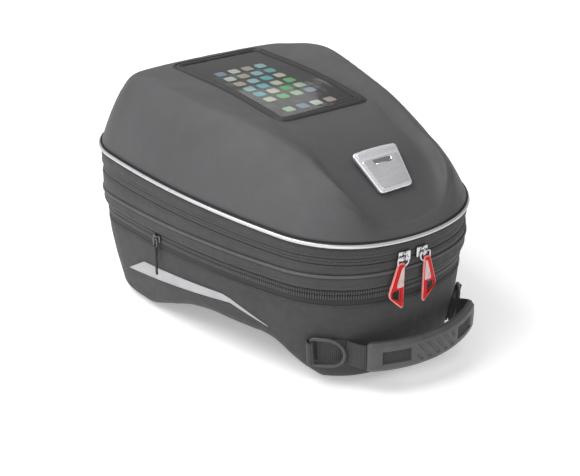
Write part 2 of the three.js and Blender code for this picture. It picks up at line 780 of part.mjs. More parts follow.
function expansionGusset() {
    const bottom = level(GUSSET_BOTTOM);
    const top = level(GUSSET_BOTTOM + GUSSET_HEIGHT);
    return hoop([[-11.5, bottom], [-9, bottom], [-9, top], [-11.5, top]]);
}

// Fabric band between the two zips, with a groove for its welt.
function upperBand() {
    const grooveLow = level(WELT_HEIGHT - WELT_RADIUS - 1);
    const grooveHigh = level(WELT_HEIGHT + WELT_RADIUS + 1);
    const top = y => zipZ(y) - ZIP_HALF - CLEARANCE;
    return hoop([[-5, level(BAND_BOTTOM)], [-0.6, level(BAND_BOTTOM)], [0, level(BAND_BOTTOM + 3)],
        [0, grooveLow], [-2.2, grooveLow], [-2.2, grooveHigh], [0, grooveHigh], [0, top], [-5, top]]);
}

function bandWelt() {
    return hoop(cordSection(WELT_RADIUS, -0.3, level(WELT_HEIGHT), 6));
}

// The main zip runs round the nose from one end of the hinge fabric to the other.
function zipRun() {
    const end = 180 - HINGE_HALF_ANGLE;
    const half = [...AROUND.filter(direction => direction > 0 && direction < end), end];
    return [...half.map(direction => -direction).reverse(), 0, ...half];
}

function mainZipLower() {
    return hoop(zipTape(y => zipZ(y) - ZIP_HALF, y => zipZ(y) - 0.15, 0.5), zipRun());
}

function mainZipUpper() {
    return hoop(zipTape(y => zipZ(y) + 0.15, y => zipZ(y) + ZIP_HALF, 0.5), zipRun());
}

function lidHingeFabric() {
    const edge = HINGE_HALF_ANGLE - 0.15;
    const directions = steps(180 - edge, 180 + edge, 6).map(angle => (angle > 180 ? angle - 360 : angle));
    return hoop(zipTape(y => zipZ(y) - ZIP_HALF, y => zipZ(y) + ZIP_HALF, 0.5), directions);
}

function lidBand() {
    const low = y => zipZ(y) + ZIP_HALF + CLEARANCE;
    const shoulder = y => rimZ(y) - PIPING_RADIUS - CLEARANCE;
    const lip = y => rimZ(y) + PIPING_RADIUS;
    return hoop([[-5, low], [0, low], [0, shoulder], [-2.4, shoulder], [-2.4, lip], [-5, lip]]);
}

function piping() {
    return hoop(cordSection(PIPING_RADIUS, 0.4, rimZ, 8));
}

// ---------------------------------------------------------------- lid

const nosePanelZ = y => NOSE_PANEL_LEVEL + NOSE_PANEL_SLOPE * (y - NOSE_PANEL_Y);

function panelZ(y) {
    const panel = smoothMin(PANEL_LEVEL, PANEL_TILT_LEVEL + PANEL_TILT * y, PANEL_BEND);
    return smoothMin(panel, nosePanelZ(y), NOSE_BLEND);
}

function crestZ(y) {
    return smoothMin(CREST_LEVEL + CREST_SLOPE * y, nosePanelZ(y), NOSE_BLEND);
}

// How far the shoulder ridge stands above its crest line.
function ridgeRise(x, y) {
    const climb = RIDGE_LOW + RIDGE_FAR_SLOPE * (y - RIDGE_LOW_Y);
    const far = Math.min(climb, RIDGE_END_SLOPE * (RIDGE_END_Y - y));
    const near = Math.min(RIDGE_LOW + RIDGE_NEAR_CURVE * (y - RIDGE_LOW_Y) ** 2, RIDGE_NEAR_LIMIT);
    const rise = y > RIDGE_LOW_Y ? Math.max(far, 0) : near;
    return rise * smoothStep(RIDGE_START_X, RIDGE_FULL_X, Math.abs(x));
}

function lidRim(direction, inset) {
    const p = outlineAt(direction, -LID_EDGE_INSET - inset);
    return new THREE.Vector3(p.x, p.y, rimZ(p.y) + PIPING_RADIUS + CLEARANCE);
}

function lidRidge(direction) {
    const p = outlineAt(direction, -lookUp(RIDGE_INSET, Math.abs(direction)));
    return new THREE.Vector3(p.x, p.y, crestZ(p.y) + ridgeRise(p.x, p.y));
}

// The foot of the ridge's inner slope, where the panel starts.
function lidTrough(direction) {
    const angle = Math.abs(direction);
    const p = outlineAt(direction, -lookUp(RIDGE_INSET, angle) - lookUp(RIDGE_SLOPE_WIDTH, angle));
    return new THREE.Vector3(p.x, p.y, panelZ(p.y));
}

// Rows of the lid's outer face: rim, bulging flank, ridge, inner slope, panel and the middle line.
function lidRows() {
    const flank = (direction, share) => {
        const low = lidRim(direction, 0);
        const high = lidRidge(direction);
        const point = low.clone().lerp(high, share);
        point.z = blend(low.z, high.z, (1 + FLANK_BULGE) * share - FLANK_BULGE * share * share);
        return point;
    };
    const middleNear = lidTrough(0).y + 14;
    const middleFar = lidTrough(180).y - 14;
    const panel = (direction, share) => {
        const side = lidTrough(direction);
        const turn = AROUND.indexOf(Math.abs(direction)) / AROUND.indexOf(180);
        const y = blend(side.y, blend(middleNear, middleFar, turn), share);
        return new THREE.Vector3(side.x * (1 - share), y, panelZ(y));
    };
    return [
        ...[0, 0.12, 0.32, 0.6, 1].map(share => AROUND.map(direction => flank(direction, share))),
        ...[0, 0.5, 1].map(share => AROUND.map(direction => panel(direction, share))),
    ];
}

// Moves a grid of points inwards along its own normals. The rim and the middle line keep their planes.
function insetRows(rows, thickness) {
    const columns = AROUND.length;
    return rows.map((points, row) => points.map((point, column) => {
        if (row === 0) {
            return lidRim(AROUND[column], thickness);
        }
        if (row === rows.length - 1) {
            return new THREE.Vector3(0, point.y, point.z - thickness);
        }
        const across = rows[row + 1][column].clone().sub(rows[row - 1][column]);
        const along = points[(column + 1) % columns].clone().sub(points[(column + columns - 1) % columns]);
        const normal = along.cross(across).normalize();
        const inner = point.clone().addScaledVector(normal, normal.z > 0 ? -thickness : thickness);
        inner.z = Math.max(inner.z, lidRim(AROUND[column], 0).z + row);
        return inner;
    }));
}

// The window outline at an inset: a rounded shape that narrows towards the nose.
function windowPoints(inset, segments = 4) {
    const nearY = WINDOW_NEAR_Y + inset;
    const farY = WINDOW_FAR_Y - inset;
    const radius = Math.max(WINDOW_CORNER - inset, 2);
    const corners = [
        [-WINDOW_NEAR_HALF + inset, nearY, 180], [WINDOW_NEAR_HALF - inset, nearY, 270],
        [WINDOW_FAR_HALF - inset, farY, 0], [-WINDOW_FAR_HALF + inset, farY, 90],
    ];
    const turn = (x, y, start) => steps(start, start + 90, segments).map(angle => new THREE.Vector2(
        x - Math.sign(x) * radius + Math.cos(radians(angle)) * radius,
        y - Math.sign(y) * radius + Math.sin(radians(angle)) * radius,
    ));
    const rounded = corners.map(([x, y, start]) => turn(x, y, start));
    const side = (from, to) => steps(0, 1, 8).slice(1, -1).map(t => from.clone().lerp(to, t));
    const [nearLeft, nearRight, farRight, farLeft] = rounded;
    return [...nearLeft, ...nearRight, ...side(nearRight[segments], farRight[0]), ...farRight, ...farLeft,
        ...side(farLeft[segments], nearLeft[0])];
}

function onPanel(points, rise) {
    return points.map(p => new THREE.Vector3(p.x, p.y, panelZ(p.y) + rise));
}

// Moulded lid skin. Its -X and +X halves meet on the middle line, and the window is cut through it.
function lidShell() {
    const outer = lidRows();
    const inner = insetRows(outer, LID_WALL).reverse();
    const shell = gridSolid([...inner, ...outer], { columnsClosed: true });
    const opening = new THREE.Shape(windowPoints(WINDOW_BORDER - CLEARANCE));
    return cut(shell, extrude(opening, CUT_DEPTH).translate(0, 0, PANEL_LEVEL));
}

function windowFrame() {
    const section = [[0, 0.5], [0.8, 1.9], [WINDOW_BORDER - 0.5, 1.9], [WINDOW_BORDER, 0.5]];
    const rows = section.map(([inset, rise]) => onPanel(windowPoints(inset), rise));
    return gridSolid(rows, { rowsClosed: true, columnsClosed: true });
}

function windowFilm() {
    const outline = windowPoints(WINDOW_BORDER + CLEARANCE);
    const middle = (WINDOW_NEAR_Y + WINDOW_FAR_Y) / 2;
    const row = (scale, rise) => onPanel(outline.map(p => new THREE.Vector2(
        p.x * scale,
        blend(middle, p.y, 0.35 + 0.65 * scale),
    )), rise);
    return gridSolid([row(0, -0.2), row(1, -0.2), row(1, 0.8), row(0, 0.8)], { columnsClosed: true });
}

// Lays a plate parallel to the phone, with its middle this far below the panel.
function onPhonePlane(plate, depth) {
    const y = PHONE_NEAR_Y + PHONE_LENGTH / 2;
    const z = panelZ(PHONE_NEAR_Y) + PHONE_SLOPE * PHONE_LENGTH / 2 - depth;
    return plate.rotateX(Math.atan(PHONE_SLOPE)).translate(0, y, z);
}

function phone() {
    const slab = extrude(roundedRectangle(PHONE_WIDTH, PHONE_LENGTH, 9), PHONE_THICKNESS, 0.8, 5);
    return onPhonePlane(slab, PHONE_DEPTH + PHONE_THICKNESS / 2);
}

function pocketPanel() {
    const panel = extrude(roundedRectangle(PHONE_WIDTH + 10, PHONE_LENGTH + 14, 12), POCKET_THICKNESS, 0, 4);
    return onPhonePlane(panel, PHONE_DEPTH + PHONE_THICKNESS + CLEARANCE + POCKET_THICKNESS / 2);
}

// Net that closes the underside of the lid, below the phone pocket.
function lidPocketNet() {
    const low = NET_RISE;
    const row = (scale, rise) => AROUND.map(direction => {
        const p = outlineAt(direction, -NET_INSET);
        return new THREE.Vector3(p.x * scale, p.y * scale, rimZ(p.y * scale) + rise);
    });
    return gridSolid([row(0.5, low), row(1, low), row(1, low + 1), row(0.5, low + 1)], {
        columnsClosed: true,
        firstPole: new THREE.Vector3(0, 0, rimZ(0) + low),
        lastPole: new THREE.Vector3(0, 0, rimZ(0) + low + 1),
    });
}

// Metal badge: a rounded plate that narrows downwards, lying on the nose slope.
function badge() {
    const half = BADGE_LENGTH / 2;
    const corner = BADGE_CORNER;
    const shape = new THREE.Shape();
    shape.moveTo(-BADGE_LOW_HALF + corner, -half);
    shape.lineTo(BADGE_LOW_HALF - corner, -half);
    shape.quadraticCurveTo(BADGE_LOW_HALF, -half, BADGE_LOW_HALF + BADGE_FLARE, -half + corner);
    shape.lineTo(BADGE_HIGH_HALF - BADGE_FLARE, half - corner);
    shape.quadraticCurveTo(BADGE_HIGH_HALF, half, BADGE_HIGH_HALF - corner, half);
    shape.lineTo(-BADGE_HIGH_HALF + corner, half);
    shape.quadraticCurveTo(-BADGE_HIGH_HALF, half, -BADGE_HIGH_HALF + BADGE_FLARE, half - corner);
    shape.lineTo(-BADGE_LOW_HALF - BADGE_FLARE, -half + corner);
    shape.quadraticCurveTo(-BADGE_LOW_HALF, -half, -BADGE_LOW_HALF + corner, -half);
    const plate = extrude(shape, BADGE_THICKNESS, BADGE_BEVEL, 3).rotateX(Math.atan(NOSE_PANEL_SLOPE));
    return plate.translate(0, BADGE_Y, nosePanelZ(BADGE_Y) + BADGE_THICKNESS);
}

// ---------------------------------------------------------------- sliders and pulls

// A slider plate with a small bridge across it, which the pull's wire passes under.
function slider(length, width) {
    const plate = extrude(roundedRectangle(length, width, 2.2), SLIDER_THICKNESS, 0.5, 3);
    plate.rotateX(Math.PI / 2).translate(0, SLIDER_FACE - SLIDER_THICKNESS / 2, 0);
    const foot = -0.6;
    const bridge = new THREE.Shape();
    bridge.moveTo(BRIDGE_OUTER, foot);
    bridge.lineTo(BRIDGE_OUTER, 0);
    bridge.absarc(0, 0, BRIDGE_OUTER, 0, Math.PI);
    bridge.lineTo(-BRIDGE_OUTER, foot);
    bridge.lineTo(-BRIDGE_INNER, foot);
    bridge.lineTo(-BRIDGE_INNER, 0);
    bridge.absarc(0, 0, BRIDGE_INNER, Math.PI, 0, true);
    bridge.lineTo(BRIDGE_INNER, foot);
    const arch = extrude(bridge, 2.6).rotateY(-Math.PI / 2);
    return join(plate, arch.translate(0, SLIDER_FACE, 0));
}

function zipFrame(direction) {
    return wallFrame(direction, 0, zipZ(outlineAt(direction, 0).y));
}

function expansionFrame() {
    return wallFrame(EXPANSION_SLIDER, -WALL_TOP_INSET, EXPANSION_ZIP_HEIGHT);
}

function mainSlider(direction) {
    return slider(12, 10.5).applyMatrix4(zipFrame(direction));
}

function expansionSlider() {
    return slider(10, 7.5).applyMatrix4(expansionFrame());
}

// A flat loop of wire from under the bridge down to a pull, between two inner and two outer sides.
function wireLoop(hand, innerX, outerX, footX, footZ) {
    const half = WIRE / 2;
    const outline = (grow, foot) => [
        [innerX - grow, grow], [outerX + grow, grow], [outerX + grow, foot],
        [footX - grow, foot], [innerX - grow, foot * WIRE_KNEE],
    ].map(([x, z]) => [hand * x, z]);
    const loop = holedShape(outline(half, footZ - 1), outline(-half, footZ + 1));
    return extrude(loop, WIRE).rotateX(Math.PI / 2);
}

// Moulded pull. Its straight edge faces the other pull and its far edge slants out.
function mainPull(direction, hand) {
    const top = -PULL_TOP;
    const handed = corners => corners.map(([x, z]) => [hand * x, z]);
    const outline = [[0.8, top], [7.8, top], [PULL_FLARE, -PULL_SHOULDER], [2.6, -PULL_LENGTH],
        [1.2, -PULL_LENGTH + 1.4]];
    const slot = [[4, -PULL_SHOULDER + 3.5], [PULL_FLARE - 3.2, -PULL_SHOULDER + 3.5],
        [PULL_FLARE - 2.8, -PULL_SHOULDER - 0.5], [4.2, -PULL_LENGTH + 7]];
    const tab = extrude(holedShape(handed(outline), handed(slot)), 2.2, 0.4).rotateX(Math.PI / 2);
    const pull = join(tab, wireLoop(hand, -2.9, 7.2, 2, top));
    return pull.translate(0, SLIDER_FACE + PULL_AXIS, 0).applyMatrix4(zipFrame(direction));
}

function expansionPull() {
    const middle = -(EXPANSION_PULL_TOP + EXPANSION_PULL_END) / 2;
    const cord = roundedRectangle(EXPANSION_PULL_WIDTH, EXPANSION_PULL_END - EXPANSION_PULL_TOP, 0.8);
    const tab = extrude(cord, 2, 0.4, 2).rotateX(Math.PI / 2).translate(0, 0, middle);
    const pull = join(tab, wireLoop(1, -2.2, 2.2, -1, -EXPANSION_PULL_TOP));
    return pull.translate(0, SLIDER_FACE + PULL_AXIS, 0).applyMatrix4(expansionFrame());
}

// ---------------------------------------------------------------- materials and the assembly

const FINISHES = {
    fabric: { color: 0x4a4a4c, roughness: 0.9, metalness: 0 },
    eva: { color: 0x5c5c60, roughness: 0.6, metalness: 0 },
    rubber: { color: 0x3a3a3c, roughness: 0.7, metalness: 0 },
    webbing: { color: 0x333335, roughness: 0.9, metalness: 0 },
    plastic: { color: 0x2a2a2c, roughness: 0.5, metalness: 0 },
    coil: { color: 0x1c1c1e, roughness: 0.5, metalness: 0 },
    reflective: { color: 0xd6d6da, roughness: 0.35, metalness: 0.3 },
    steel: { color: 0xb8b8bc, roughness: 0.3, metalness: 1 },
    chrome: { color: 0xd8d8dc, roughness: 0.12, metalness: 1 },
    film: { color: 0xdfe6ea, roughness: 0.08, metalness: 0 },
    screen: { color: 0x141418, roughness: 0.1, metalness: 0 },
    pull: { color: 0xd03028, roughness: 0.4, metalness: 0 },
    net: { color: 0x202022, roughness: 0.95, metalness: 0 },
};

function piece(name, finish, geometry) {
    const material = new THREE.MeshStandardMaterial({ name: finish, ...FINISHES[finish] });
    const mesh = new THREE.Mesh(bareSolid(geometry), material);
    mesh.name = name;
    return mesh;
}

function lowerBody() {
    const group = new THREE.Group();
    group.add(
        piece('lower_shell', 'fabric', lowerShell()),
        piece('base_skid', 'rubber', baseSkid()),
        piece('floor_plate', 'plastic', floorPlate()),
        piece('exp_zip_lower', 'coil', expansionZipLower()),
        piece('expansion_gusset', 'fabric', expansionGusset()),
        piece('reflector_left', 'reflective', reflector(1)),
        piece('reflector_right', 'reflective', reflector(-1)),
        piece('webbing_left', 'webbing', webbing(1)),
        piece('webbing_right', 'webbing', webbing(-1)),
    );
    return group;
}

function ringLock() {
    const group = new THREE.Group();
    group.add(
        piece('lock_housing', 'plastic', lockHousing()),
        piece('lock_cover', 'plastic', lockCover()),
        piece('lock_latch', 'steel', lockLatch()),
        piece('latch_spring', 'steel', latchSpring()),
        piece('release_strap', 'webbing', releaseStrap()),
        piece('release_tab', 'rubber', releaseTab()),
        ...screwPlaces().map((place, i) => piece(`lock_screw_${i + 1}`, 'steel', lockScrew(place))),
    );
    return group;
}

function carryHandle() {
    const group = new THREE.Group();
    group.add(
        piece('handle_strap', 'webbing', handleStrap()),
        piece('handle_grip', 'rubber', handleGrip()),
        piece('d_ring_left', 'rubber', dRing(1)),
        piece('d_ring_right', 'rubber', dRing(-1)),
    );
    return group;
}

function expansionCollar() {
    const group = new THREE.Group();
    group.add(
        piece('exp_zip_upper', 'coil', expansionZipUpper()),
        piece('upper_band', 'fabric', upperBand()),
        piece('band_welt', 'fabric', bandWelt()),
        piece('main_zip_lower', 'coil', mainZipLower()),
        piece('lid_hinge_fabric', 'fabric', lidHingeFabric()),
        piece('exp_slider', 'coil', expansionSlider()),
        piece('exp_pull', 'webbing', expansionPull()),
        piece('slider_left', 'chrome', mainSlider(SLIDER_LEFT)),
        piece('slider_right', 'chrome', mainSlider(SLIDER_RIGHT)),
        piece('pull_left', 'pull', mainPull(SLIDER_LEFT, 1)),
        piece('pull_right', 'pull', mainPull(SLIDER_RIGHT, -1)),
    );
    return group;
}

function lid() {
    const group = new THREE.Group();
    group.add(
        piece('lid_shell', 'eva', lidShell()),
        piece('lid_band', 'fabric', lidBand()),
        piece('piping', 'reflective', piping()),
        piece('main_zip_upper', 'coil', mainZipUpper()),
        piece('window_frame', 'rubber', windowFrame()),
        piece('window_film', 'film', windowFilm()),
        piece('phone', 'screen', phone()),
        piece('pocket_panel', 'fabric', pocketPanel()),
        piece('lid_pocket_net', 'net', lidPocketNet()),
        piece('badge', 'steel', badge()),
    );
    return group;
}

const tankBag = new THREE.Group();
tankBag.add(lowerBody(), ringLock(), carryHandle(), expansionCollar(), lid());
tankBag.position.y = -new THREE.Box3().setFromObject(tankBag).getCenter(new THREE.Vector3()).y;

export default tankBag;
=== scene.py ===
# Looks of the tank bag: smooth fabric, zips, trim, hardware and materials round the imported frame.
# Shapes are worked out in millimetres about the middle of the bag's body, like the CAD source, and
# place() turns them into the frame's metres. -Y is the rider's end, +Z is up.

from contextlib import contextmanager
import math

import bpy
import bmesh
import numpy as np
from mathutils import Matrix, Vector, noise


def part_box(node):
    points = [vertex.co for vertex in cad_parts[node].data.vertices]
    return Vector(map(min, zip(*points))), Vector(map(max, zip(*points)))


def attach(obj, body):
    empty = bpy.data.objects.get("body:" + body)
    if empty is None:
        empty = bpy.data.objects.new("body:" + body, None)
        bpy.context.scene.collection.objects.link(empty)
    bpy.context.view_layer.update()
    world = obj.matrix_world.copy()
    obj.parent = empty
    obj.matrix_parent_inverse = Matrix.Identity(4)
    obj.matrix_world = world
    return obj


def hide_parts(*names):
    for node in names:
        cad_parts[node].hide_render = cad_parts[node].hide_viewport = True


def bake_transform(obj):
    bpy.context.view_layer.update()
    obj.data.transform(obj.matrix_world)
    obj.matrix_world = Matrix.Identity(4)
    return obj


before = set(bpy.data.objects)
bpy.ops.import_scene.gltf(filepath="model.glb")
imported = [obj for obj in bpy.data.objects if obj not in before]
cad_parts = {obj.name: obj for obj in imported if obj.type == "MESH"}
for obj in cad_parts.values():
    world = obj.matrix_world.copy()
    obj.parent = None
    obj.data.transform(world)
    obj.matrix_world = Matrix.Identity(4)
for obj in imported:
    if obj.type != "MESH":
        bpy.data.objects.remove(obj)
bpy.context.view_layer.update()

# ---------------------------------------------------------------- driving dimensions

# Plan outline at the lid rim: tangent arcs from the nose to the far edge, as in the CAD source.
# A direction is an angle in degrees: 0 at the nose, 180 at the far edge, positive on the -X side.
NOSE_Y = -171.7
ARC_RADII = [150, 85.5, 730, 60.7]
ARC_LIMITS = [0, 16.5, 72.1, 89.3, 173.9, 180]
ARC_STEPS = [10, 22, 30, 24, 14]

RIM_HEIGHT = 146.2
RIM_SLOPE = 0.0559
ZIP_HEIGHT = 127.9
ZIP_SLOPE = 0.032
ZIP_HALF = 2.9
TAPE_GAP = 0.12
COIL_GAP = 0.15
# Coil turns: pitch along the zip, depth outwards and height.
FINE_COIL = (1.5, 0.35, 1.0)
WIDE_COIL = (2.1, 0.9, 4.1)
COIL_SHARP = 80
WHOLE_ROUND = (-179.9, 179.9)
SHELL_TOP = 82
EXPANSION_ZIP = 91.5
BAND_BOTTOM = 97.2
WELT_HEIGHT = 110
PIPING_RADIUS = 2.3
GUSSET_LOW = 74
GUSSET_HIGH = 102
GUSSET_INSET = 9.4
GUSSET_FOLDS = 5
HINGE_HALF_ANGLE = 4.7

WALL_LOW = 8
WALL_LEAN = 12
WALL_TOP_INSET = 3
WALL_CURVE = 1.6
BOTTOM_RADIUS = 14
UNDERSIDE_INSET = 33
UNDERSIDE_LIFT = 2.3
ARCH_HEIGHT = 31
ARCH_FAR_Y = 75
ARCH_FAR_SLOPE = 0.4
ARCH_NEAR_Y = -130
ARCH_NEAR_SLOPE = 0.75
ARCH_BLEND = 10

CREST_LEVEL = 210.2
CREST_SLOPE = 0.024
PANEL_LEVEL = 215.6
PANEL_TILT_LEVEL = 212.2
PANEL_TILT = 0.105
PANEL_BEND = 4
NOSE_PANEL_LEVEL = 163.5
NOSE_PANEL_SLOPE = 0.82
NOSE_PANEL_Y = -138
NOSE_BLEND = 40
RIDGE_LOW_Y = -55
RIDGE_LOW = 1.5
RIDGE_FAR_SLOPE = 0.075
RIDGE_END_Y = 135
RIDGE_END_SLOPE = 0.215
RIDGE_NEAR_CURVE = 0.002
RIDGE_NEAR_LIMIT = 14
RIDGE_START_X = 35
RIDGE_FULL_X = 55
FLANK_BULGE = 0.45
# The ridge's inset from the outline, and the width of the slope inside it, by direction.
RIDGE_INSET = [(0, 11), (16.5, 12), (30, 15), (45, 28), (60, 37), (72.1, 41), (76, 45), (80, 43),
               (85, 38), (89.3, 34), (135, 30), (160, 27), (180, 27)]
RIDGE_SLOPE_WIDTH = [(0, 8), (45, 10), (72.1, 12), (76, 17), (79, 22), (83, 25), (89.3, 25),
                     (120, 20), (150, 8), (165, 4), (180, 3)]

WINDOW_NEAR_Y = -44.5
WINDOW_FAR_Y = 131
WINDOW_NEAR_HALF = 49.5
WINDOW_FAR_HALF = 51.5
WINDOW_CORNER = 11
BORDER_WIDTH = 7.6
FILM_LIFT = 0.35
FILM_SWELL = 0.5
PHONE_SLOPE = 0.0495

WEBBING_HEIGHT = 24
WEBBING_Z = 36.5
WEBBING_OUTER = 53.5
WEBBING_INNER = 33
FOLD_RADIUS = 3.3
RING_SIZE = 32
RING_WIRE = 3.4
RING_RADIUS = 1.65
RING_STANDOFF = 4.1
RING_REST_TILT = 5
GRIP_HALF = 60
GRIP_SHIFT = 7
GRIP_RISE = 1.6
GRIP_END_Y = -168.5
GRIP_MIDDLE_Y = -187
GRIP_HEIGHT = 27
GRIP_THICKNESS = 7
# The grip's relief: the ends of its windows and of its field as shares of GRIP_HALF, their half heights
# and depths, and the ribs in its windows.
GRIP_WINDOW_INNER = 0.41
GRIP_WINDOW_OUTER = 0.8
GRIP_FIELD_OUTER = 0.32
GRIP_WINDOW_HALF = 5.8
GRIP_FIELD_HALF = 7.8
GRIP_WINDOW_DEPTH = 2
GRIP_BAR_DEPTH = 0.9
GRIP_RIBS = 34

SLIDER_LEFT = 7.3
SLIDER_RIGHT = 0.4
EXPANSION_SLIDER = 83.9
SLIDER_FACE = 2.5
SLIDER_THICKNESS = 2.2
BRIDGE_HEIGHT = 3.1
BRIDGE_HALF = 3.3
BRIDGE_RADIUS = 0.9
PULL_AXIS = 1.2
PULL_LENGTH = 47
PULL_SHOULDER = 32
PULL_FLARE = 15.6
PULL_TOP = 4.8
CORD_LENGTH = 36

# The reflective flash: its lower and upper edge, as heights by y.
FLASH_LOW_EDGE = [(-92.8, 47), (-53, 57.3), (-30, 54.3), (60, 42.5), (95, 38)]
FLASH_HIGH_EDGE = [(-92.8, 47.6), (-54, 61.7), (-44, 63.7), (64, 56.9), (95, 38.6)]

# The phone under the window, and the blank tiles on its screen.
TILE_COLORS = [(0.38, 0.52, 0.36), (0.1, 0.42, 0.45), (0.55, 0.62, 0.55), (0.1, 0.46, 0.12),
               (0.28, 0.5, 0.52), (0.2, 0.27, 0.36), (0.56, 0.56, 0.42), (0.42, 0.36, 0.28)]
PHONE_LENGTH = 156
PHONE_WIDTH = 76
PHONE_THICKNESS = 7.6
PHONE_CORNER = 9
TILE_SIZE = 10.3
TILE_LIFT = 3.85
TILE_PITCH = (15.3, 15.6)
TILE_ROWS = 6
FIRST_ROW_Y = 45.9
DOCK_Y = -60.9

# The badge's outlines in its own plane: x across, z up, from its middle.
BADGE_OUTLINE = [(-17.8, -21), (17.8, -21), (24.2, 20), (8, 21), (-8, 21), (-24.2, 20)]
BADGE_FACE = [(-15.2, -18.4), (15.2, -18.4), (19.6, 10.8), (-19.6, 10.8)]
BADGE_SLOT = [(-8, 5), (9.5, 5), (10.5, 9.3), (-9, 9.3)]
BADGE_FLOOR = [(-9, 4.6), (9.5, 4.6), (10.5, 9.8), (-10, 9.8)]
BADGE_CROWN = [(-20, 11.8), (20, 11.8), (21.6, 18.4), (8, 19.2), (-8, 19.2), (-21.6, 18.4)]
CROWN_MIDDLE = 15.5
CROWN_LEAN = 13

# Curve plates: points closer than this are one point, and edges above this angle stay sharp.
WELD = 1e-5
PLATE_SHARP = 40

# The frame's Y of the bag's own middle, taken from the CAD nose.
SHIFT_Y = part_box("upper_band")[0].y * 1000 - NOSE_Y


# ---------------------------------------------------------------- plain helpers

def place(x, y, z):
    """A place in the bag's own millimetres, as a place in the frame's metres."""
    return Vector((x, y + SHIFT_Y, z)) / 1000


def placed(rows):
    return [[place(*point) for point in row] for row in rows]


def shift(x, y, z):
    """A move by millimetres."""
    return Matrix.Translation((x / 1000, y / 1000, z / 1000))


def spot(turn, x, y, z):
    """A place in millimetres on the axes that turn gives, in the frame's metres."""
    return turn @ (Vector((x, y, z)) / 1000)


def blend(a, b, t):
    return a + (b - a) * t


def clamp(value, low, high):
    return min(max(value, low), high)


def smooth_step(low, high, value):
    t = clamp((value - low) / (high - low), 0, 1)
    return t * t * (3 - 2 * t)


def smooth_min(a, b, width):
    h = max(width - abs(a - b), 0) / width
    return min(a, b) - h * h * width / 4


def look_up(table, key):
    keys, values = zip(*table)
    return float(np.interp(key, keys, values))


def smooth_look_up(table, direction, reach=5):
    """The table's value averaged over the directions near this one, which rounds its corners."""
    near = np.abs(180 - np.abs(180 - np.abs(direction + np.linspace(-reach, reach, 9))))
    directions, values = zip(*table)
    return float(np.interp(near, directions, values).mean())


def steps(start, end, count):
    return [blend(start, end, i / count) for i in range(count + 1)]


def run_lengths(points):
    """How far along a line of points each of them is."""
    return np.concatenate([[0], np.cumsum(np.linalg.norm(np.diff(points, axis=0), axis=1))])


# ---------------------------------------------------------------- plan outline and heights

def arc_centres():
    """Each arc's centre and radius, on the -X side."""
    centres = []
    x, y = 0.0, NOSE_Y
    for i, radius in enumerate(ARC_RADII):
        start, end = math.radians(ARC_LIMITS[i]), math.radians(ARC_LIMITS[i + 1])
        cx, cy = x + math.sin(start) * radius, y + math.cos(start) * radius
        centres.append((cx, cy, radius))
        x, y = cx - math.sin(end) * radius, cy - math.cos(end) * radius
    last = math.radians(ARC_LIMITS[len(ARC_RADII)])
    radius = -x / math.sin(last)
    centres.append((0.0, y + math.cos(last) * radius, radius))
    return centres


CENTRES = arc_centres()


def normal_at(direction):
    angle = math.radians(abs(direction))
    return (-1 if direction >= 0 else 1) * math.sin(angle), -math.cos(angle)


def outline_at(direction, offset):
    """The outline's point at a direction, moved outwards by offset. Positive directions are on -X."""
    side = 1 if direction < 0 else -1
    angle = abs(direction)
    arc = 0
    while arc < len(CENTRES) - 1 and angle > ARC_LIMITS[arc + 1]:
        arc += 1
    x, y, radius = CENTRES[arc]
    turn = math.radians(angle)
    return -side * (x - math.sin(turn) * (radius + offset)), y - math.cos(turn) * (radius + offset)


def all_directions():
    half = [0.0]
    for arc, count in enumerate(ARC_STEPS):
        half += steps(ARC_LIMITS[arc], ARC_LIMITS[arc + 1], count)[1:]
    return half + [-direction for direction in reversed(half[1:-1])]


AROUND = all_directions()


def rim_z(y):
    return RIM_HEIGHT + RIM_SLOPE * y


def zip_z(y):
    return ZIP_HEIGHT + ZIP_SLOPE * y


def arch_z(y):
    """The underside's level: an arch across the bag that fits over a fuel tank."""
    far = ARCH_FAR_SLOPE * (ARCH_FAR_Y - y)
    near = ARCH_NEAR_SLOPE * (y - ARCH_NEAR_Y)
    return max(smooth_min(smooth_min(far, near, ARCH_BLEND), ARCH_HEIGHT, ARCH_BLEND), 0)


def wall_offset(z):
    """How far the lower shell's wall stands off the outline at a height."""
    t = clamp((z - WALL_LOW) / (SHELL_TOP - WALL_LOW), 0, 1)
    return -(WALL_TOP_INSET + WALL_LEAN * (1 - t) ** WALL_CURVE)


def nose_panel_z(y):
    return NOSE_PANEL_LEVEL + NOSE_PANEL_SLOPE * (y - NOSE_PANEL_Y)


def panel_z(y):
    """The top panel: level at the far end, tilted down towards the rider, then steep over the nose."""
    top = smooth_min(PANEL_LEVEL, PANEL_TILT_LEVEL + PANEL_TILT * y, PANEL_BEND)
    return smooth_min(top, nose_panel_z(y), NOSE_BLEND)


def crest_z(y):
    """The level from which the ridge beside the panel rises."""
    return smooth_min(CREST_LEVEL + CREST_SLOPE * y, nose_panel_z(y), NOSE_BLEND)


def ridge_rise(x, y):
    """How far a shoulder ridge rises above its crest level."""
    far = min(RIDGE_LOW + RIDGE_FAR_SLOPE * (y - RIDGE_LOW_Y), RIDGE_END_SLOPE * (RIDGE_END_Y - y))
    near = min(RIDGE_LOW + RIDGE_NEAR_CURVE * (y - RIDGE_LOW_Y) ** 2, RIDGE_NEAR_LIMIT)
    rise = max(far, 0) if y > RIDGE_LOW_Y else near
    return rise * smooth_step(RIDGE_START_X, RIDGE_FULL_X, abs(x))


# ---------------------------------------------------------------- meshes

def new_object(name, data):
    piece = bpy.data.objects.new(name, data)
    bpy.context.scene.collection.objects.link(piece)
    return piece


@contextmanager
def editing(mesh):
    """The mesh as a bmesh, which is written back and freed at the end."""
    work = bmesh.new()
    work.from_mesh(mesh)
    yield work
    work.to_mesh(mesh)
    work.free()


def shade(mesh, sharp):
    mesh.shade_smooth()
    mesh.set_sharp_from_angle(angle=math.radians(sharp))


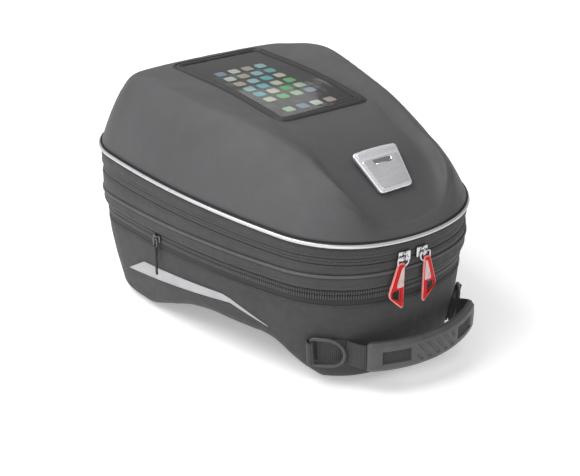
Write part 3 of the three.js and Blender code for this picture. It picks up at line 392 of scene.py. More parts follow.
def finish_mesh(name, vertices, faces, material, uvs=None, sharp=35):
    """A mesh object with outward faces, smooth shading, sharp edges above an angle and UVs in metres."""
    mesh = bpy.data.meshes.new(name)
    mesh.from_pydata([tuple(v) for v in vertices], [], faces)
    if uvs is not None:
        layer = mesh.uv_layers.new(name="cloth")
        corners = np.zeros(len(mesh.loops), int)
        mesh.loops.foreach_get("vertex_index", corners)
        layer.data.foreach_set("uv", np.asarray(uvs, np.float32)[corners].ravel())
    with editing(mesh) as work:
        bmesh.ops.recalc_face_normals(work, faces=work.faces)
    shade(mesh, sharp)
    mesh.materials.append(material)
    return new_object(name, mesh)


def grid_faces(rows, columns, rows_closed, columns_closed):
    faces = []
    for row in range(rows if rows_closed else rows - 1):
        for column in range(columns if columns_closed else columns - 1):
            below, above = row * columns, (row + 1) % rows * columns
            following = (column + 1) % columns
            faces.append((below + column, below + following, above + following, above + column))
    return faces


def grid_mesh(name, rows, material, rows_closed=False, columns_closed=False, sharp=35):
    """A grid of points as a mesh, with UVs by the distance along its middle row and across its rows."""
    columns = len(rows[0])
    points = np.array([[tuple(point) for point in row] for row in rows])
    u = run_lengths(points[len(rows) // 2])
    along = np.linalg.norm(np.diff(points, axis=0), axis=2).mean(axis=1)
    v = np.concatenate([[0], np.cumsum(along)])
    uvs = np.stack(np.meshgrid(u, v), axis=-1).reshape(-1, 2)
    faces = grid_faces(len(rows), columns, rows_closed, columns_closed)
    return finish_mesh(name, points.reshape(-1, 3), faces, material, uvs, sharp)


def hoop(name, section, material, directions=None, closed_section=True, sharp=35):
    """A hoop along the outline. Each section corner is an offset and a height, which may depend on y."""
    directions = directions or AROUND
    rows = []
    for offset, height in section:
        row = []
        for direction in directions:
            x, y = outline_at(direction, offset)
            row.append(place(x, y, height(y) if callable(height) else height))
        rows.append(row)
    closed = directions is AROUND
    piece = grid_mesh(name, rows, material, closed_section, closed, sharp)
    if not closed and closed_section:
        cap_open_ends(piece)
    return piece


def cap_open_ends(piece):
    with editing(piece.data) as work:
        edges = [edge for edge in work.edges if edge.is_boundary]
        bmesh.ops.holes_fill(work, edges=edges, sides=0)
        bmesh.ops.recalc_face_normals(work, faces=work.faces)


def round_section(radius, offset, height, sides=12):
    def lift(angle):
        return lambda y: (height(y) if callable(height) else height) + math.sin(angle) * radius
    angles = [2 * math.pi * i / sides for i in range(sides)]
    return [(offset + math.cos(angle) * radius, lift(angle)) for angle in angles]


def wall_matrix(direction, offset, z, lean=0.0):
    """Axes of a place on the wall: x along the outline, y outwards, z up the wall, which may lean."""
    x, y = outline_at(direction, offset)
    nx, ny = normal_at(direction)
    out = Vector((nx, ny, 0))
    along = out.cross(Vector((0, 0, 1)))
    turn = Matrix((along, out, Vector((0, 0, 1)))).transposed().to_4x4()
    return Matrix.Translation(place(x, y, z)) @ turn @ Matrix.Rotation(-lean, 4, "X")


def tube(name, points, radius, material, closed=False, sides=10):
    """A round wire through points of the frame. Its radius is in millimetres."""
    points = [Vector(point) for point in points]
    count = len(points)
    rows = []
    side = None
    for i, point in enumerate(points):
        before = points[i - 1] if closed or i else point
        after = points[(i + 1) % count] if closed or i < count - 1 else point
        along = (after - before).normalized()
        if side is None:
            side = along.orthogonal().normalized()
        side = (side - along * side.dot(along)).normalized()
        other = along.cross(side)
        turns = [2 * math.pi * k / sides for k in range(sides)]
        rows.append([point + (side * math.cos(a) + other * math.sin(a)) * radius / 1000 for a in turns])
    piece = grid_mesh(name, rows, material, closed, True, 60)
    if not closed:
        cap_open_ends(piece)
    return piece


def plate(name, outline, holes, thickness, bevel, material, matrix):
    """A flat plate with holes and rounded edges. The outline is in millimetres in its own xz plane."""
    curve = bpy.data.curves.new(name, "CURVE")
    curve.dimensions = "2D"
    curve.fill_mode = "BOTH"
    for loop in [outline, *holes]:
        spline = curve.splines.new("POLY")
        spline.points.add(len(loop) - 1)
        for point, (x, z) in zip(spline.points, loop):
            point.co = (x / 1000, z / 1000, 0, 1)
        spline.use_cyclic_u = True
    curve.extrude = (thickness / 2 - bevel) / 1000
    curve.bevel_depth = bevel / 1000
    curve.offset = -bevel / 1000
    curve.bevel_resolution = 3
    holder = new_object(name + "_curve", curve)
    bpy.context.view_layer.update()
    mesh = bpy.data.meshes.new_from_object(holder.evaluated_get(bpy.context.evaluated_depsgraph_get()))
    bpy.data.objects.remove(holder)
    mesh.transform(Matrix.Rotation(math.pi / 2, 4, "X"))
    mesh.transform(matrix)
    mesh.name = name
    mesh.materials.clear()
    mesh.materials.append(material)
    with editing(mesh) as work:
        bmesh.ops.remove_doubles(work, verts=work.verts, dist=WELD)
        bmesh.ops.recalc_face_normals(work, faces=work.faces)
    shade(mesh, PLATE_SHARP)
    return new_object(name, mesh)


def rounded(corners, radius, segments=6):
    """A closed outline whose corners are rounded."""
    points = []
    count = len(corners)
    for i in range(count):
        before, corner, after = (Vector(corners[j % count]) for j in (i - 1, i, i + 1))
        cut = min(radius, (before - corner).length * 0.45, (after - corner).length * 0.45)
        start = corner + (before - corner).normalized() * cut
        end = corner + (after - corner).normalized() * cut
        for t in steps(0, 1, segments):
            points.append(tuple(start * (1 - t) ** 2 + corner * 2 * t * (1 - t) + end * t * t))
    return points


def joined(name, pieces):
    """Several objects joined into a new one."""
    work = bmesh.new()
    materials = []
    for piece in pieces:
        start = len(work.faces)
        work.from_mesh(piece.data)
        work.faces.ensure_lookup_table()
        for face in work.faces[start:]:
            material = piece.data.materials[face.material_index]
            if material not in materials:
                materials.append(material)
            face.material_index = materials.index(material)
    mesh = bpy.data.meshes.new(name)
    work.to_mesh(mesh)
    work.free()
    for material in materials:
        mesh.materials.append(material)
    for piece in pieces:
        bpy.data.objects.remove(piece)
    return new_object(name, mesh)


def thicken(piece, thickness, offset=-1, lining=None):
    """Gives a sheet its thickness in millimetres, with a lining on its inner side if there is one."""
    solid = piece.modifiers.new("thickness", "SOLIDIFY")
    solid.thickness = thickness / 1000
    solid.offset = offset
    if lining:
        piece.data.materials.append(lining)
        solid.material_offset = 1


def settle(piece, body, slot, *nodes):
    """Rides a finished piece on its body and hides the CAD nodes it stands for."""
    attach(piece, body)
    if nodes:
        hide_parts(*nodes)


def join_bodies(piece, node):
    """A flexible piece between two bodies: hides its CAD node and bakes its placement into its mesh."""
    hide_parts(node)
    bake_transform(piece)


# ---------------------------------------------------------------- materials

class Look:
    """One material's node tree, with short calls for the nodes that the looks share."""

    def __init__(self, name, color, roughness, metallic=0.0):
        self.material = bpy.data.materials.new(name)
        self.material.use_nodes = True
        self.tree = self.material.node_tree
        self.shader = self.tree.nodes["Principled BSDF"]
        self.color = (*color, 1) if isinstance(color, tuple) else (color, color, color, 1)
        self.shader.inputs["Base Color"].default_value = self.color
        self.shader.inputs["Roughness"].default_value = roughness
        self.shader.inputs["Metallic"].default_value = metallic
        self.height = None

    def add(self, kind, inputs=None, **settings):
        node = self.tree.nodes.new(kind)
        for key, value in settings.items():
            setattr(node, key, value)
        for key, value in (inputs or {}).items():
            if isinstance(value, bpy.types.NodeSocket):
                self.tree.links.new(value, node.inputs[key])
            else:
                node.inputs[key].default_value = value
        return node

    def math(self, operation, first, second=0.0):
        return self.add("ShaderNodeMath", {0: first, 1: second}, operation=operation).outputs[0]

    def space(self, uv=False):
        """The place on the surface in millimetres: along the cloth, or in the frame."""
        source = self.add("ShaderNodeTexCoord").outputs["UV" if uv else "Object"]
        return self.add("ShaderNodeVectorMath", {0: source, "Scale": 1000.0}, operation="SCALE").outputs[0]

    def noise(self, scale, detail=4.0, uv=False):
        inputs = {"Vector": self.space(uv), "Scale": 1 / scale, "Detail": detail}
        return self.add("ShaderNodeTexNoise", inputs).outputs["Fac"]

    def remap(self, value, low, high):
        inputs = {"Value": value, "From Min": 0.3, "From Max": 0.7, "To Min": low, "To Max": high}
        return self.add("ShaderNodeMapRange", inputs).outputs[0]

    def vary_color(self, value, dark=0.8, light=1.2):
        """Scales the base colour by a 0.3 to 0.7 value."""
        factor = self.remap(value, dark, light)
        link = self.shader.inputs["Base Color"]
        source = link.links[0].from_socket if link.is_linked else self.color[:3]
        mixed = self.add("ShaderNodeVectorMath", {0: factor, 1: source}, operation="MULTIPLY")
        self.tree.links.new(mixed.outputs[0], link)
        return self

    def vary_roughness(self, value, low, high):
        self.tree.links.new(self.remap(value, low, high), self.shader.inputs["Roughness"])
        return self

    def bump(self, value, distance, strength=1.0):
        """Adds a relief of this many millimetres to the surface."""
        inputs = {"Height": value, "Distance": distance / 1000, "Strength": strength}
        if self.height is not None:
            inputs["Normal"] = self.height
        self.height = self.add("ShaderNodeBump", inputs).outputs[0]
        self.tree.links.new(self.height, self.shader.inputs["Normal"])
        return self

    def soft_edges(self, radius):
        """Rounds the shaded edges of a faceted CAD solid by a radius in millimetres."""
        self.height = self.add("ShaderNodeBevel", {"Radius": radius / 1000}, samples=6).outputs[0]
        self.tree.links.new(self.height, self.shader.inputs["Normal"])
        return self

    def axes(self, uv=True):
        parts = self.add("ShaderNodeSeparateXYZ", {0: self.space(uv)})
        return parts.outputs[0], parts.outputs[1]

    def wave(self, axis_value, pitch):
        """0 to 1 ribs across a coordinate."""
        turned = self.math("MULTIPLY", axis_value, math.pi / pitch)
        return self.math("ABSOLUTE", self.math("SINE", turned))

    def weave(self, pitch):
        """Plain weave over the cloth's own coordinates: warp and weft cross over and under."""
        u, v = self.axes()
        warp, weft = self.wave(u, pitch), self.wave(v, pitch)
        cell_u = self.math("FLOOR", self.math("DIVIDE", u, pitch))
        cell_v = self.math("FLOOR", self.math("DIVIDE", v, pitch))
        over = self.math("MODULO", self.math("ABSOLUTE", self.math("ADD", cell_u, cell_v)), 2.0)
        mixed = self.add("ShaderNodeMix", {0: over, 2: warp, 3: weft}, data_type="FLOAT")
        return mixed.outputs[0]

    def sheen(self, weight, tint=0.6, roughness=0.4):
        self.shader.inputs["Sheen Weight"].default_value = weight
        self.shader.inputs["Sheen Roughness"].default_value = roughness
        self.shader.inputs["Sheen Tint"].default_value = (tint, tint, tint, 1)
        return self


def fabric_look(name, color, pitch, relief, roughness=0.8, sheen=0.25):
    look = Look(name, color, roughness)
    look.vary_color(look.noise(38), 0.9, 1.1)
    weave = look.weave(pitch)
    look.vary_color(weave, 0.86, 1.1)
    look.vary_roughness(look.noise(7), roughness - 0.08, roughness + 0.08)
    look.bump(look.noise(26, 3), 0.5, 0.5)
    look.bump(weave, relief)
    return look.sheen(sheen).material


def moulded_fabric_look():
    """The lid's skin: a very fine knit bonded on foam, nearly smooth, rubbed a little lighter in places."""
    look = Look("lid_fabric", (0.064, 0.064, 0.067), 0.6)
    look.vary_color(look.noise(60, 3), 0.93, 1.07)
    look.vary_color(look.noise(0.9, 2), 0.88, 1.12)
    look.vary_roughness(look.noise(14), 0.55, 0.66)
    look.bump(look.noise(30, 3), 0.5, 0.4)
    look.bump(look.weave(0.8), 0.05)
    look.bump(look.noise(0.8, 2), 0.06)
    return look.sheen(0.06, 0.7, 0.35).material


def lining_look():
    look = Look("lining", 0.028, 0.85)
    look.vary_color(look.noise(2.5), 0.8, 1.2)
    look.bump(look.noise(1.2), 0.15)
    return look.sheen(0.2).material


def net_look():
    """A knitted net: small open holes over the object's plan."""
    look = Look("pocket_net", 0.03, 0.8)
    x, y = look.axes(uv=False)
    diagonal = look.math("ADD", x, y)
    other = look.math("SUBTRACT", x, y)
    thread = look.math("MINIMUM", look.wave(diagonal, 3.2), look.wave(other, 3.2))
    solid = look.math("LESS_THAN", thread, 0.55)
    look.tree.links.new(solid, look.shader.inputs["Alpha"])
    look.bump(look.noise(0.7), 0.1)
    return look.material


def webbing_look():
    look = Look("webbing", 0.03, 0.75)
    u, v = look.axes()
    ribs = look.wave(u, 1.7)
    threads = look.wave(v, 0.9)
    look.vary_color(ribs, 0.65, 1.35)
    look.bump(ribs, 0.45)
    look.bump(threads, 0.12)
    return look.sheen(0.2).material


def strap_look():
    """Webbing ribs across a strap that runs along X."""
    look = Look("strap_webbing", 0.03, 0.75)
    ribs = look.wave(look.axes(uv=False)[0], 1.6)
    look.vary_color(ribs, 0.65, 1.35)
    look.bump(ribs, 0.4)
    return look.material


def zip_tape_look(name, tone):
    look = Look(name, tone, 0.8)
    ribs = look.wave(look.axes()[0], 1.1)
    look.vary_color(ribs, 0.8, 1.25)
    look.bump(ribs, 0.2)
    return look.sheen(0.15).material


def zip_teeth_look():
    look = Look("zip_teeth", 0.06, 0.3)
    look.vary_roughness(look.noise(3), 0.3, 0.5)
    look.bump(look.noise(0.5), 0.03)
    return look.material


def thread_look():
    look = Look("thread", 0.07, 0.6)
    look.vary_color(look.noise(1.5), 0.8, 1.25)
    look.bump(look.noise(0.4), 0.05)
    return look.material


def reflective_cord_look():
    """Silver reflective trim: glass-bead film over a cord, with a fine cross rib."""
    look = Look("reflective_cord", (0.58, 0.58, 0.6), 0.32, 0.75)
    look.vary_color(look.wave(look.axes()[0], 1.3), 0.9, 1.08)
    look.vary_roughness(look.noise(9), 0.24, 0.42)
    look.bump(look.noise(2.2), 0.08)
    return look.material


def reflective_patch_look():
    """Pale reflective print with a fine diagonal hatch."""
    look = Look("reflective_patch", (0.42, 0.42, 0.435), 0.45, 0.3)
    hatch = look.wave(look.math("ADD", *look.axes()), 1.6)
    look.vary_color(hatch, 0.72, 1.1)
    look.vary_color(look.noise(22), 0.9, 1.06)
    look.bump(hatch, 0.05)
    return look.material


def rubber_look(name, color, roughness, grain=0.9, relief=0.08):
    look = Look(name, color, roughness)
    look.soft_edges(0.6)
    look.vary_color(look.noise(12), 0.88, 1.12)
    look.vary_roughness(look.noise(5), roughness - 0.07, roughness + 0.07)
    look.bump(look.noise(grain, 2), relief)
    return look.material


def skid_look():
    """Grippy base sheet with round studs."""
    look = Look("base_rubber", 0.03, 0.7)
    inputs = {"Vector": look.space(), "Scale": 1 / 5.0, "Randomness": 0.0}
    studs = look.add("ShaderNodeTexVoronoi", inputs).outputs["Distance"]
    look.bump(look.math("LESS_THAN", studs, 0.3), 0.5)
    look.vary_color(look.noise(8), 0.85, 1.15)
    look.bump(look.noise(0.8), 0.06)
    return look.material


def metal_look(name, color, roughness, scratch=0.05):
    look = Look(name, color, roughness, 1.0)
    look.soft_edges(0.3)
    look.vary_roughness(look.noise(4, 6), roughness * 0.75, roughness * 1.35)
    look.bump(look.noise(1.1, 6), scratch, 0.4)
    return look.material


def badge_look(name, tone):
    """Satin metal with fine brush lines across."""
    look = Look(name, (tone, tone, tone * 1.04), 0.3, 0.9)
    stretched = look.add("ShaderNodeVectorMath", {0: look.space(), 1: (0.05, 2.5, 2.5)}, operation="MULTIPLY")
    inputs = {"Vector": stretched.outputs[0], "Scale": 1.0, "Detail": 4.0}
    lines = look.add("ShaderNodeTexNoise", inputs).outputs["Fac"]
    look.vary_color(lines, 0.93, 1.06)
    look.vary_roughness(lines, 0.24, 0.38)
    look.bump(lines, 0.03)
    return look.material


def film_look():
    """Clear flexible film: mostly see-through, with a soft reflection."""
    look = Look("window_film", (1.0, 1.0, 1.0), 0.07)
    clear = look.add("ShaderNodeBsdfTransparent", {"Color": (0.86, 0.88, 0.88, 1)})
    gloss = look.add("ShaderNodeBsdfGlossy", {"Color": (0.9, 0.9, 0.9, 1), "Roughness": 0.1})
    fresnel = look.add("ShaderNodeFresnel", {"IOR": 1.5})
    ripple = look.add("ShaderNodeBump", {"Height": look.noise(24, 2), "Distance": 0.0008, "Strength": 0.5})
    look.tree.links.new(ripple.outputs[0], gloss.inputs["Normal"])
    mixed = look.add("ShaderNodeMixShader", {0: fresnel.outputs[0]})
    look.tree.links.new(clear.outputs[0], mixed.inputs[1])
    look.tree.links.new(gloss.outputs[0], mixed.inputs[2])
    look.tree.links.new(mixed.outputs[0], look.tree.nodes["Material Output"].inputs["Surface"])
    return look.material


def phone_look():
    look = Look("phone_body", 0.008, 0.12)
    look.soft_edges(0.5)
    look.vary_roughness(look.noise(20), 0.08, 0.2)
    return look.material


def tile_look(index, color):
    look = Look(f"screen_tile_{index}", color, 0.4)
    look.vary_color(look.noise(6), 0.9, 1.1)
    look.shader.inputs["Emission Color"].default_value = look.color
    look.shader.inputs["Emission Strength"].default_value = 0.3
    return look.material


def pull_look(name, color, subsurface, roughness=0.35):
    look = Look(name, color, roughness)
    look.vary_color(look.noise(5), 0.85, 1.12)
    look.vary_roughness(look.noise(3), roughness - 0.08, roughness + 0.1)
    look.bump(look.noise(0.9), 0.04)
    look.shader.inputs["Subsurface Weight"].default_value = subsurface
    look.shader.inputs["Subsurface Radius"].default_value = (0.004, 0.002, 0.002)
    look.shader.inputs["Specular IOR Level"].default_value = 0.2
    return look.material


LID_FABRIC = moulded_fabric_look()
BODY_FABRIC = fabric_look("body_fabric", 0.04, 1.2, 0.14, sheen=0.12)
BAND_FABRIC = fabric_look("band_fabric", 0.042, 1.1, 0.12, 0.75, sheen=0.12)
WELT_FABRIC = fabric_look("welt_fabric", 0.075, 1.1, 0.1, 0.65, sheen=0.12)
LINING = lining_look()
WEBBING = webbing_look()
ZIP_TAPE = zip_tape_look("zip_tape", 0.042)
DARK_TAPE = zip_tape_look("dark_zip_tape", 0.018)
ZIP_TEETH = zip_teeth_look()
THREAD = thread_look()
REFLECTIVE_CORD = reflective_cord_look()
REFLECTIVE_PATCH = reflective_patch_look()
FRAME_RUBBER = rubber_look("frame_rubber", 0.022, 0.48)
FLANGE_RUBBER = rubber_look("flange_rubber", 0.012, 0.6)
GRIP_RUBBER = rubber_look("grip_rubber", 0.062, 0.5)
# A darker copy of the grip rubber for the sunk windows: painted shade in the recesses.
GRIP_INSET_SHADE = rubber_look("grip_inset_shade", 0.022, 0.6)
RING_PLASTIC = rubber_look("ring_plastic", 0.05, 0.38, 2.0, 0.05)
LOCK_PLASTIC = rubber_look("lock_plastic", 0.02, 0.5)
CHROME = metal_look("chrome", (0.56, 0.56, 0.58), 0.12, 0.02)
DARK_METAL = metal_look("dark_metal", (0.16, 0.16, 0.17), 0.3)
STEEL = metal_look("steel", (0.55, 0.55, 0.57), 0.3)
BADGE_METAL = badge_look("badge_metal", 0.7)
# A lighter copy of the badge metal for the rim and the crown: a painted highlight where they catch the light.
BADGE_HIGHLIGHT_RIM = badge_look("badge_rim_highlight", 0.92)
# Dark metal under the badge's slot: painted shade in the slot.
BADGE_RECESS_SHADE = metal_look("badge_recess_shade", (0.3, 0.3, 0.32), 0.35)
PULL_RED = pull_look("pull_red", (0.5, 0.002, 0.002), 0.05)
PULL_BORDER = pull_look("pull_border", (0.72, 0.27, 0.26), 0.1)
PULL_CLEAR = pull_look("pull_clear", (0.55, 0.43, 0.41), 0.2, 0.25)


# ---------------------------------------------------------------- soft shells

FLANK_ROWS = 26
SLOPE_ROWS = 7
PANEL_ROWS = 22
WINDOW_LIFT = 0.4
WINDOW_TURN_IN = 3
FOAM = 3.6
PADDING = 3.5
LID_PUFF = 1.6
SHELL_PUFF = 1.2
CLOTH_STIFFNESS = 60
CLOTH_BENDING = 30
CLOTH_PRESSURE = 1.2
CLOTH_FRAMES = 14
WALL_ROWS = 14
EDGE_ANGLES = [0.05, 0.25, 0.5, 0.75, 1.0, 1.25, 1.45]
UNDERSIDE_SCALES = [0.05, 0.2, 0.4, 0.6, 0.8, 0.93, 1]


def ruffle(piece, amount, size, seed):
    """Slight unevenness of sewn fabric: moves points along their normals by smooth seeded noise."""
    offset = Vector((seed * 7.3, seed * 3.1, seed * 5.7))
    for vertex in piece.data.vertices:
        lift = noise.noise(vertex.co * 1000 / size + offset)
        vertex.co += vertex.normal * lift * amount / 1000


def smooth_rows(points, passes, first, last, columns=False):
    """Averages each row of a grid with its neighbours between two rows, or each point along its row."""
    for _ in range(passes):
        if columns:
            mean = (np.roll(points, 1, axis=1) + 2 * points + np.roll(points, -1, axis=1)) / 4
            points[first:last] = mean[first:last]
        else:
            mean = (points[:-2] + 2 * points[1:-1] + points[2:]) / 4
            points[first:last] = mean[first - 1:last - 1]
    return points


def lid_rim(direction):
    x, y = outline_at(direction, -0.6)
    return np.array([x, y, rim_z(y) + PIPING_RADIUS + 0.3])


def lid_ridge(direction):
    x, y = outline_at(direction, -smooth_look_up(RIDGE_INSET, direction))
    return np.array([x, y, crest_z(y) + ridge_rise(x, y)])


def lid_trough(direction):
    reach = smooth_look_up(RIDGE_INSET, direction) + smooth_look_up(RIDGE_SLOPE_WIDTH, direction)
    x, y = outline_at(direction, -reach)
    return np.array([x, y, panel_z(y)])


def window_ring(count, inset, rise):
    """Points round the window from its near middle by -X to the far middle and back by +X."""
    near, far = WINDOW_NEAR_Y + inset, WINDOW_FAR_Y - inset
    near_half, far_half = WINDOW_NEAR_HALF - inset, WINDOW_FAR_HALF - inset
    radius = max(WINDOW_CORNER - inset, 3)
    loop = rounded([(-near_half, near), (-far_half, far), (far_half, far), (near_half, near)], radius, 10)
    left = [point for point in loop if point[0] < 0]
    path = np.array([(0, near), *left, (0, far)])
    lengths = run_lengths(path)
    samples = np.linspace(0, lengths[-1], count // 2 + 1)
    xs, ys = np.interp(samples, lengths, path[:, 0]), np.interp(samples, lengths, path[:, 1])
    ring = [(x, y) for x, y in zip(xs, ys)]
    ring += [(-x, y) for x, y in reversed(ring[1:-1])]
    return np.array([(x, y, panel_z(y) + rise) for x, y in ring])


def toward_window(troughs, inset, rise):
    """For each trough point, the window's edge point that lies between it and the window's middle line."""
    edge = window_ring(400, inset, rise)
    following = np.roll(edge, -1, axis=0)
    points = []
    for x, y, _ in troughs:
        middle = clamp(y, WINDOW_NEAR_Y + WINDOW_NEAR_HALF, WINDOW_FAR_Y - WINDOW_FAR_HALF)
        ray = np.array([x, y - middle]) / math.hypot(x, y - middle)
        aside = (edge[:, 0] * ray[1]) - (edge[:, 1] - middle) * ray[0]
        next_aside = (following[:, 0] * ray[1]) - (following[:, 1] - middle) * ray[0]
        ahead = edge[:, :2] @ ray - middle * ray[1] > 0
        crossing = int(np.argmax((aside * next_aside <= 0) & ahead))
        share = aside[crossing] / (aside[crossing] - next_aside[crossing])
        points.append(blend(edge[crossing], following[crossing], share))
    return np.array(points)


def spread(points):
    """Spreads a closed ring's points evenly, keeping the near and the far middle where they are."""
    count = len(points) // 2
    half = points[:count + 1]
    lengths = run_lengths(half)
    samples = np.linspace(0, lengths[-1], count + 1)
    even = np.stack([np.interp(samples, lengths, half[:, axis]) for axis in range(3)], axis=1)
    mirrored = even[1:-1][::-1] * np.array([-1, 1, 1])
    return np.concatenate([even, mirrored])


def lid_points():
    """Rows of the lid from its rim over the flank, the ridge and the inner slope to the window's edge."""
    rims = np.array([lid_rim(direction) for direction in AROUND])
    ridges = np.array([lid_ridge(direction) for direction in AROUND])
    troughs = np.array([[lid_trough(direction) for direction in AROUND]])
    troughs = smooth_rows(troughs, 8, 0, 1, columns=True)[0]
    troughs[:, 2] = [panel_z(y) for y in troughs[:, 1]]
    flank = []
    for share in steps(0, 1, FLANK_ROWS):
        row = rims + (ridges - rims) * share
        lifted = (1 + FLANK_BULGE) * share - FLANK_BULGE * share * share
        row[:, 2] = rims[:, 2] + (ridges[:, 2] - rims[:, 2]) * lifted
        flank.append(row)
    slope = [ridges + (troughs - ridges) * share for share in steps(0, 1, SLOPE_ROWS)[1:]]
    window = toward_window(troughs, -1.0, WINDOW_LIFT)
    panel = []
    for share in steps(0, 1, PANEL_ROWS)[1:]:
        row = troughs + (window - troughs) * share
        row[:, 2] = [panel_z(y) for y in row[:, 1]]
        panel.append(row)
    panel[-1][:, 2] += WINDOW_LIFT
    points = np.array(flank + slope + panel)
    ridge = len(flank) - 1
    points = smooth_rows(points, 3, ridge - 2, ridge + 3)
    points = smooth_rows(points, 10, ridge + 4, ridge + 12)
    points = smooth_rows(points, 6, ridge - 8, ridge + 12, columns=True)
    edge = window.copy()
    edge[:, 2] -= WINDOW_TURN_IN
    return np.concatenate([points, edge[None]])


def build_lid():
    """The padded lid, from its rim up to the window's edge."""
    rows = placed(lid_points())
    lid = grid_mesh("lid_cover", rows, LID_FABRIC, columns_closed=True, sharp=60)
    puff(lid, held_rows(lid, len(rows), 2, PANEL_ROWS + 2), LID_PUFF)
    ruffle(lid, 0.35, 48, 3)
    thicken(lid, FOAM, lining=LINING)
    settle(lid, "lid", "padded_lid", "lid_shell")


def held_rows(piece, rows, first_rows, last_rows):
    """A vertex group that holds the first and last rows of a ring grid, for the cloth simulation."""
    columns = len(AROUND)
    group = piece.vertex_groups.new(name="held")
    group.add(list(range(columns * first_rows)), 1.0, "REPLACE")
    group.add(list(range(columns * (rows - last_rows), columns * rows)), 1.0, "REPLACE")
    return group


def puff(piece, group, cap):
    """Foam under tension: a short pressure simulation whose movement is capped in millimetres."""
    rest = np.array([vertex.co for vertex in piece.data.vertices])
    cloth = piece.modifiers.new("cloth", "CLOTH")
    cloth.settings.vertex_group_mass = group.name
    cloth.settings.tension_stiffness = CLOTH_STIFFNESS
    cloth.settings.compression_stiffness = CLOTH_STIFFNESS
    cloth.settings.bending_stiffness = CLOTH_BENDING
    cloth.settings.use_pressure = True
    cloth.settings.uniform_pressure_force = CLOTH_PRESSURE
    cloth.settings.effector_weights.gravity = 0
    cloth.collision_settings.use_self_collision = False
    cloth.point_cache.frame_end = CLOTH_FRAMES
    scene = bpy.context.scene
    for step in range(1, CLOTH_FRAMES + 1):
        scene.frame_set(step)
    evaluated = piece.evaluated_get(bpy.context.evaluated_depsgraph_get())
    moved = np.array([vertex.co for vertex in evaluated.data.vertices]) - rest
    piece.modifiers.remove(cloth)
    scene.frame_set(1)
    lengths = np.linalg.norm(moved, axis=1)
    limit = cap / 1000
    share = np.where(lengths > 1e-9, limit * np.tanh(lengths / limit) / np.maximum(lengths, 1e-9), 0)
    piece.data.vertices.foreach_set("co", (rest + moved * share[:, None]).astype(np.float32).ravel())
    piece.data.update()


def under_ring(scale):
    """A ring on the underside, drawn in towards the middle of the bag by a scale."""
    ring = []
    for direction in AROUND:
        x, y = outline_at(direction, -UNDERSIDE_INSET)
        ring.append((x * scale, y * scale, arch_z(y * scale) + UNDERSIDE_LIFT))
    return ring


def wall_foot(direction):
    """The level where the wall starts, above the rounded bottom edge, which rises with the arch."""
    flat_y = outline_at(direction, -WALL_TOP_INSET - WALL_LEAN)[1]
    return arch_z(flat_y) + UNDERSIDE_LIFT + BOTTOM_RADIUS


def edge_ring(angle):
    """A ring on the rounded bottom edge."""
    ring = []
    for direction in AROUND:
        foot = wall_foot(direction)
        x, y = outline_at(direction, wall_offset(foot) - BOTTOM_RADIUS * (1 - math.sin(angle)))
        ring.append((x, y, foot - BOTTOM_RADIUS * math.cos(angle)))
    return ring


def wall_ring(share):
    """A ring on the wall, from its foot to its top."""
    ring = []
    for direction in AROUND:
        z = blend(wall_foot(direction), SHELL_TOP, share)
        x, y = outline_at(direction, wall_offset(z))
        ring.append((x, y, z))
    return ring


def build_lower_shell():
    """The lower shell: arched underside, rounded bottom edge and leaning wall."""
    rings = [under_ring(scale) for scale in UNDERSIDE_SCALES]
    rings += [edge_ring(angle) for angle in EDGE_ANGLES]
    rings += [wall_ring(share) for share in steps(0, 1, WALL_ROWS)]
    rows = placed(rings)
    shell = grid_mesh("lower_fabric", rows, BODY_FABRIC, columns_closed=True, sharp=60)
    puff(shell, held_rows(shell, len(rows), len(UNDERSIDE_SCALES) + 2, 2), SHELL_PUFF)
    ruffle(shell, 0.55, 42, 1)
    ruffle(shell, 0.25, 15, 2)
    thicken(shell, PADDING, lining=LINING)
    settle(shell, "lower_body", "weave_fabric", "lower_shell")


# ---------------------------------------------------------------- bands, zips and trim

def build_upper_band():
    """The fabric band under the main zip, with a groove for its welt cord."""
    groove_low, groove_high = WELT_HEIGHT - 1.4, WELT_HEIGHT + 1.4

    def below_zip(gap):
        return lambda y: zip_z(y) - ZIP_HALF - gap

    foot = [(-4.6, 0.6), (-4.2, 0.1), (-1.4, 0.1), (-0.4, 0.7), (0.25, 2.4), (0.35, 6)]
    section = [(offset, BAND_BOTTOM + rise) for offset, rise in foot]
    section += [(0.1, groove_low - 1), (-0.7, groove_low), (-0.7, groove_high), (0.1, groove_high + 1),
                (0.45, groove_high + 3.84)]
    section += [(0.3, below_zip(2.2)), (-0.4, below_zip(0.5)), (-1.6, below_zip(0.3)), (-4.6, below_zip(0.4))]
    band = hoop("upper_fabric", section, BAND_FABRIC)
    ruffle(band, 0.3, 30, 4)
    settle(band, "expansion_collar", "weave_fabric", "upper_band")
    welt = hoop("welt_cord", round_section(1.45, 0.2, WELT_HEIGHT, 12), WELT_FABRIC)
    settle(welt, "expansion_collar", "weave_fabric", "band_welt")


def build_lid_band():
    """The fabric band between the main zip and the piping, with an allowance turned up inside the lid."""

    def above_zip(rise):
        return lambda y: zip_z(y) + ZIP_HALF + rise

    def above_band(rise):
        return lambda y: rim_z(y) - PIPING_RADIUS + rise

    middle = lambda y: (above_zip(0)(y) + above_band(0)(y)) / 2
    section = [(-4.6, above_zip(0)), (-1.6, above_zip(0.2)), (-0.4, above_zip(0.5)), (0.25, above_zip(2)),
               (0.4, middle), (0.25, above_band(-1.6)), (-0.6, above_band(-0.2)), (-2.8, above_band(0)),
               (-2.8, above_band(4.4)), (-4.6, above_band(4.4))]
    band = hoop("lid_side_fabric", section, BAND_FABRIC)
    ruffle(band, 0.25, 34, 5)
    settle(band, "lid", "weave_fabric", "lid_band")


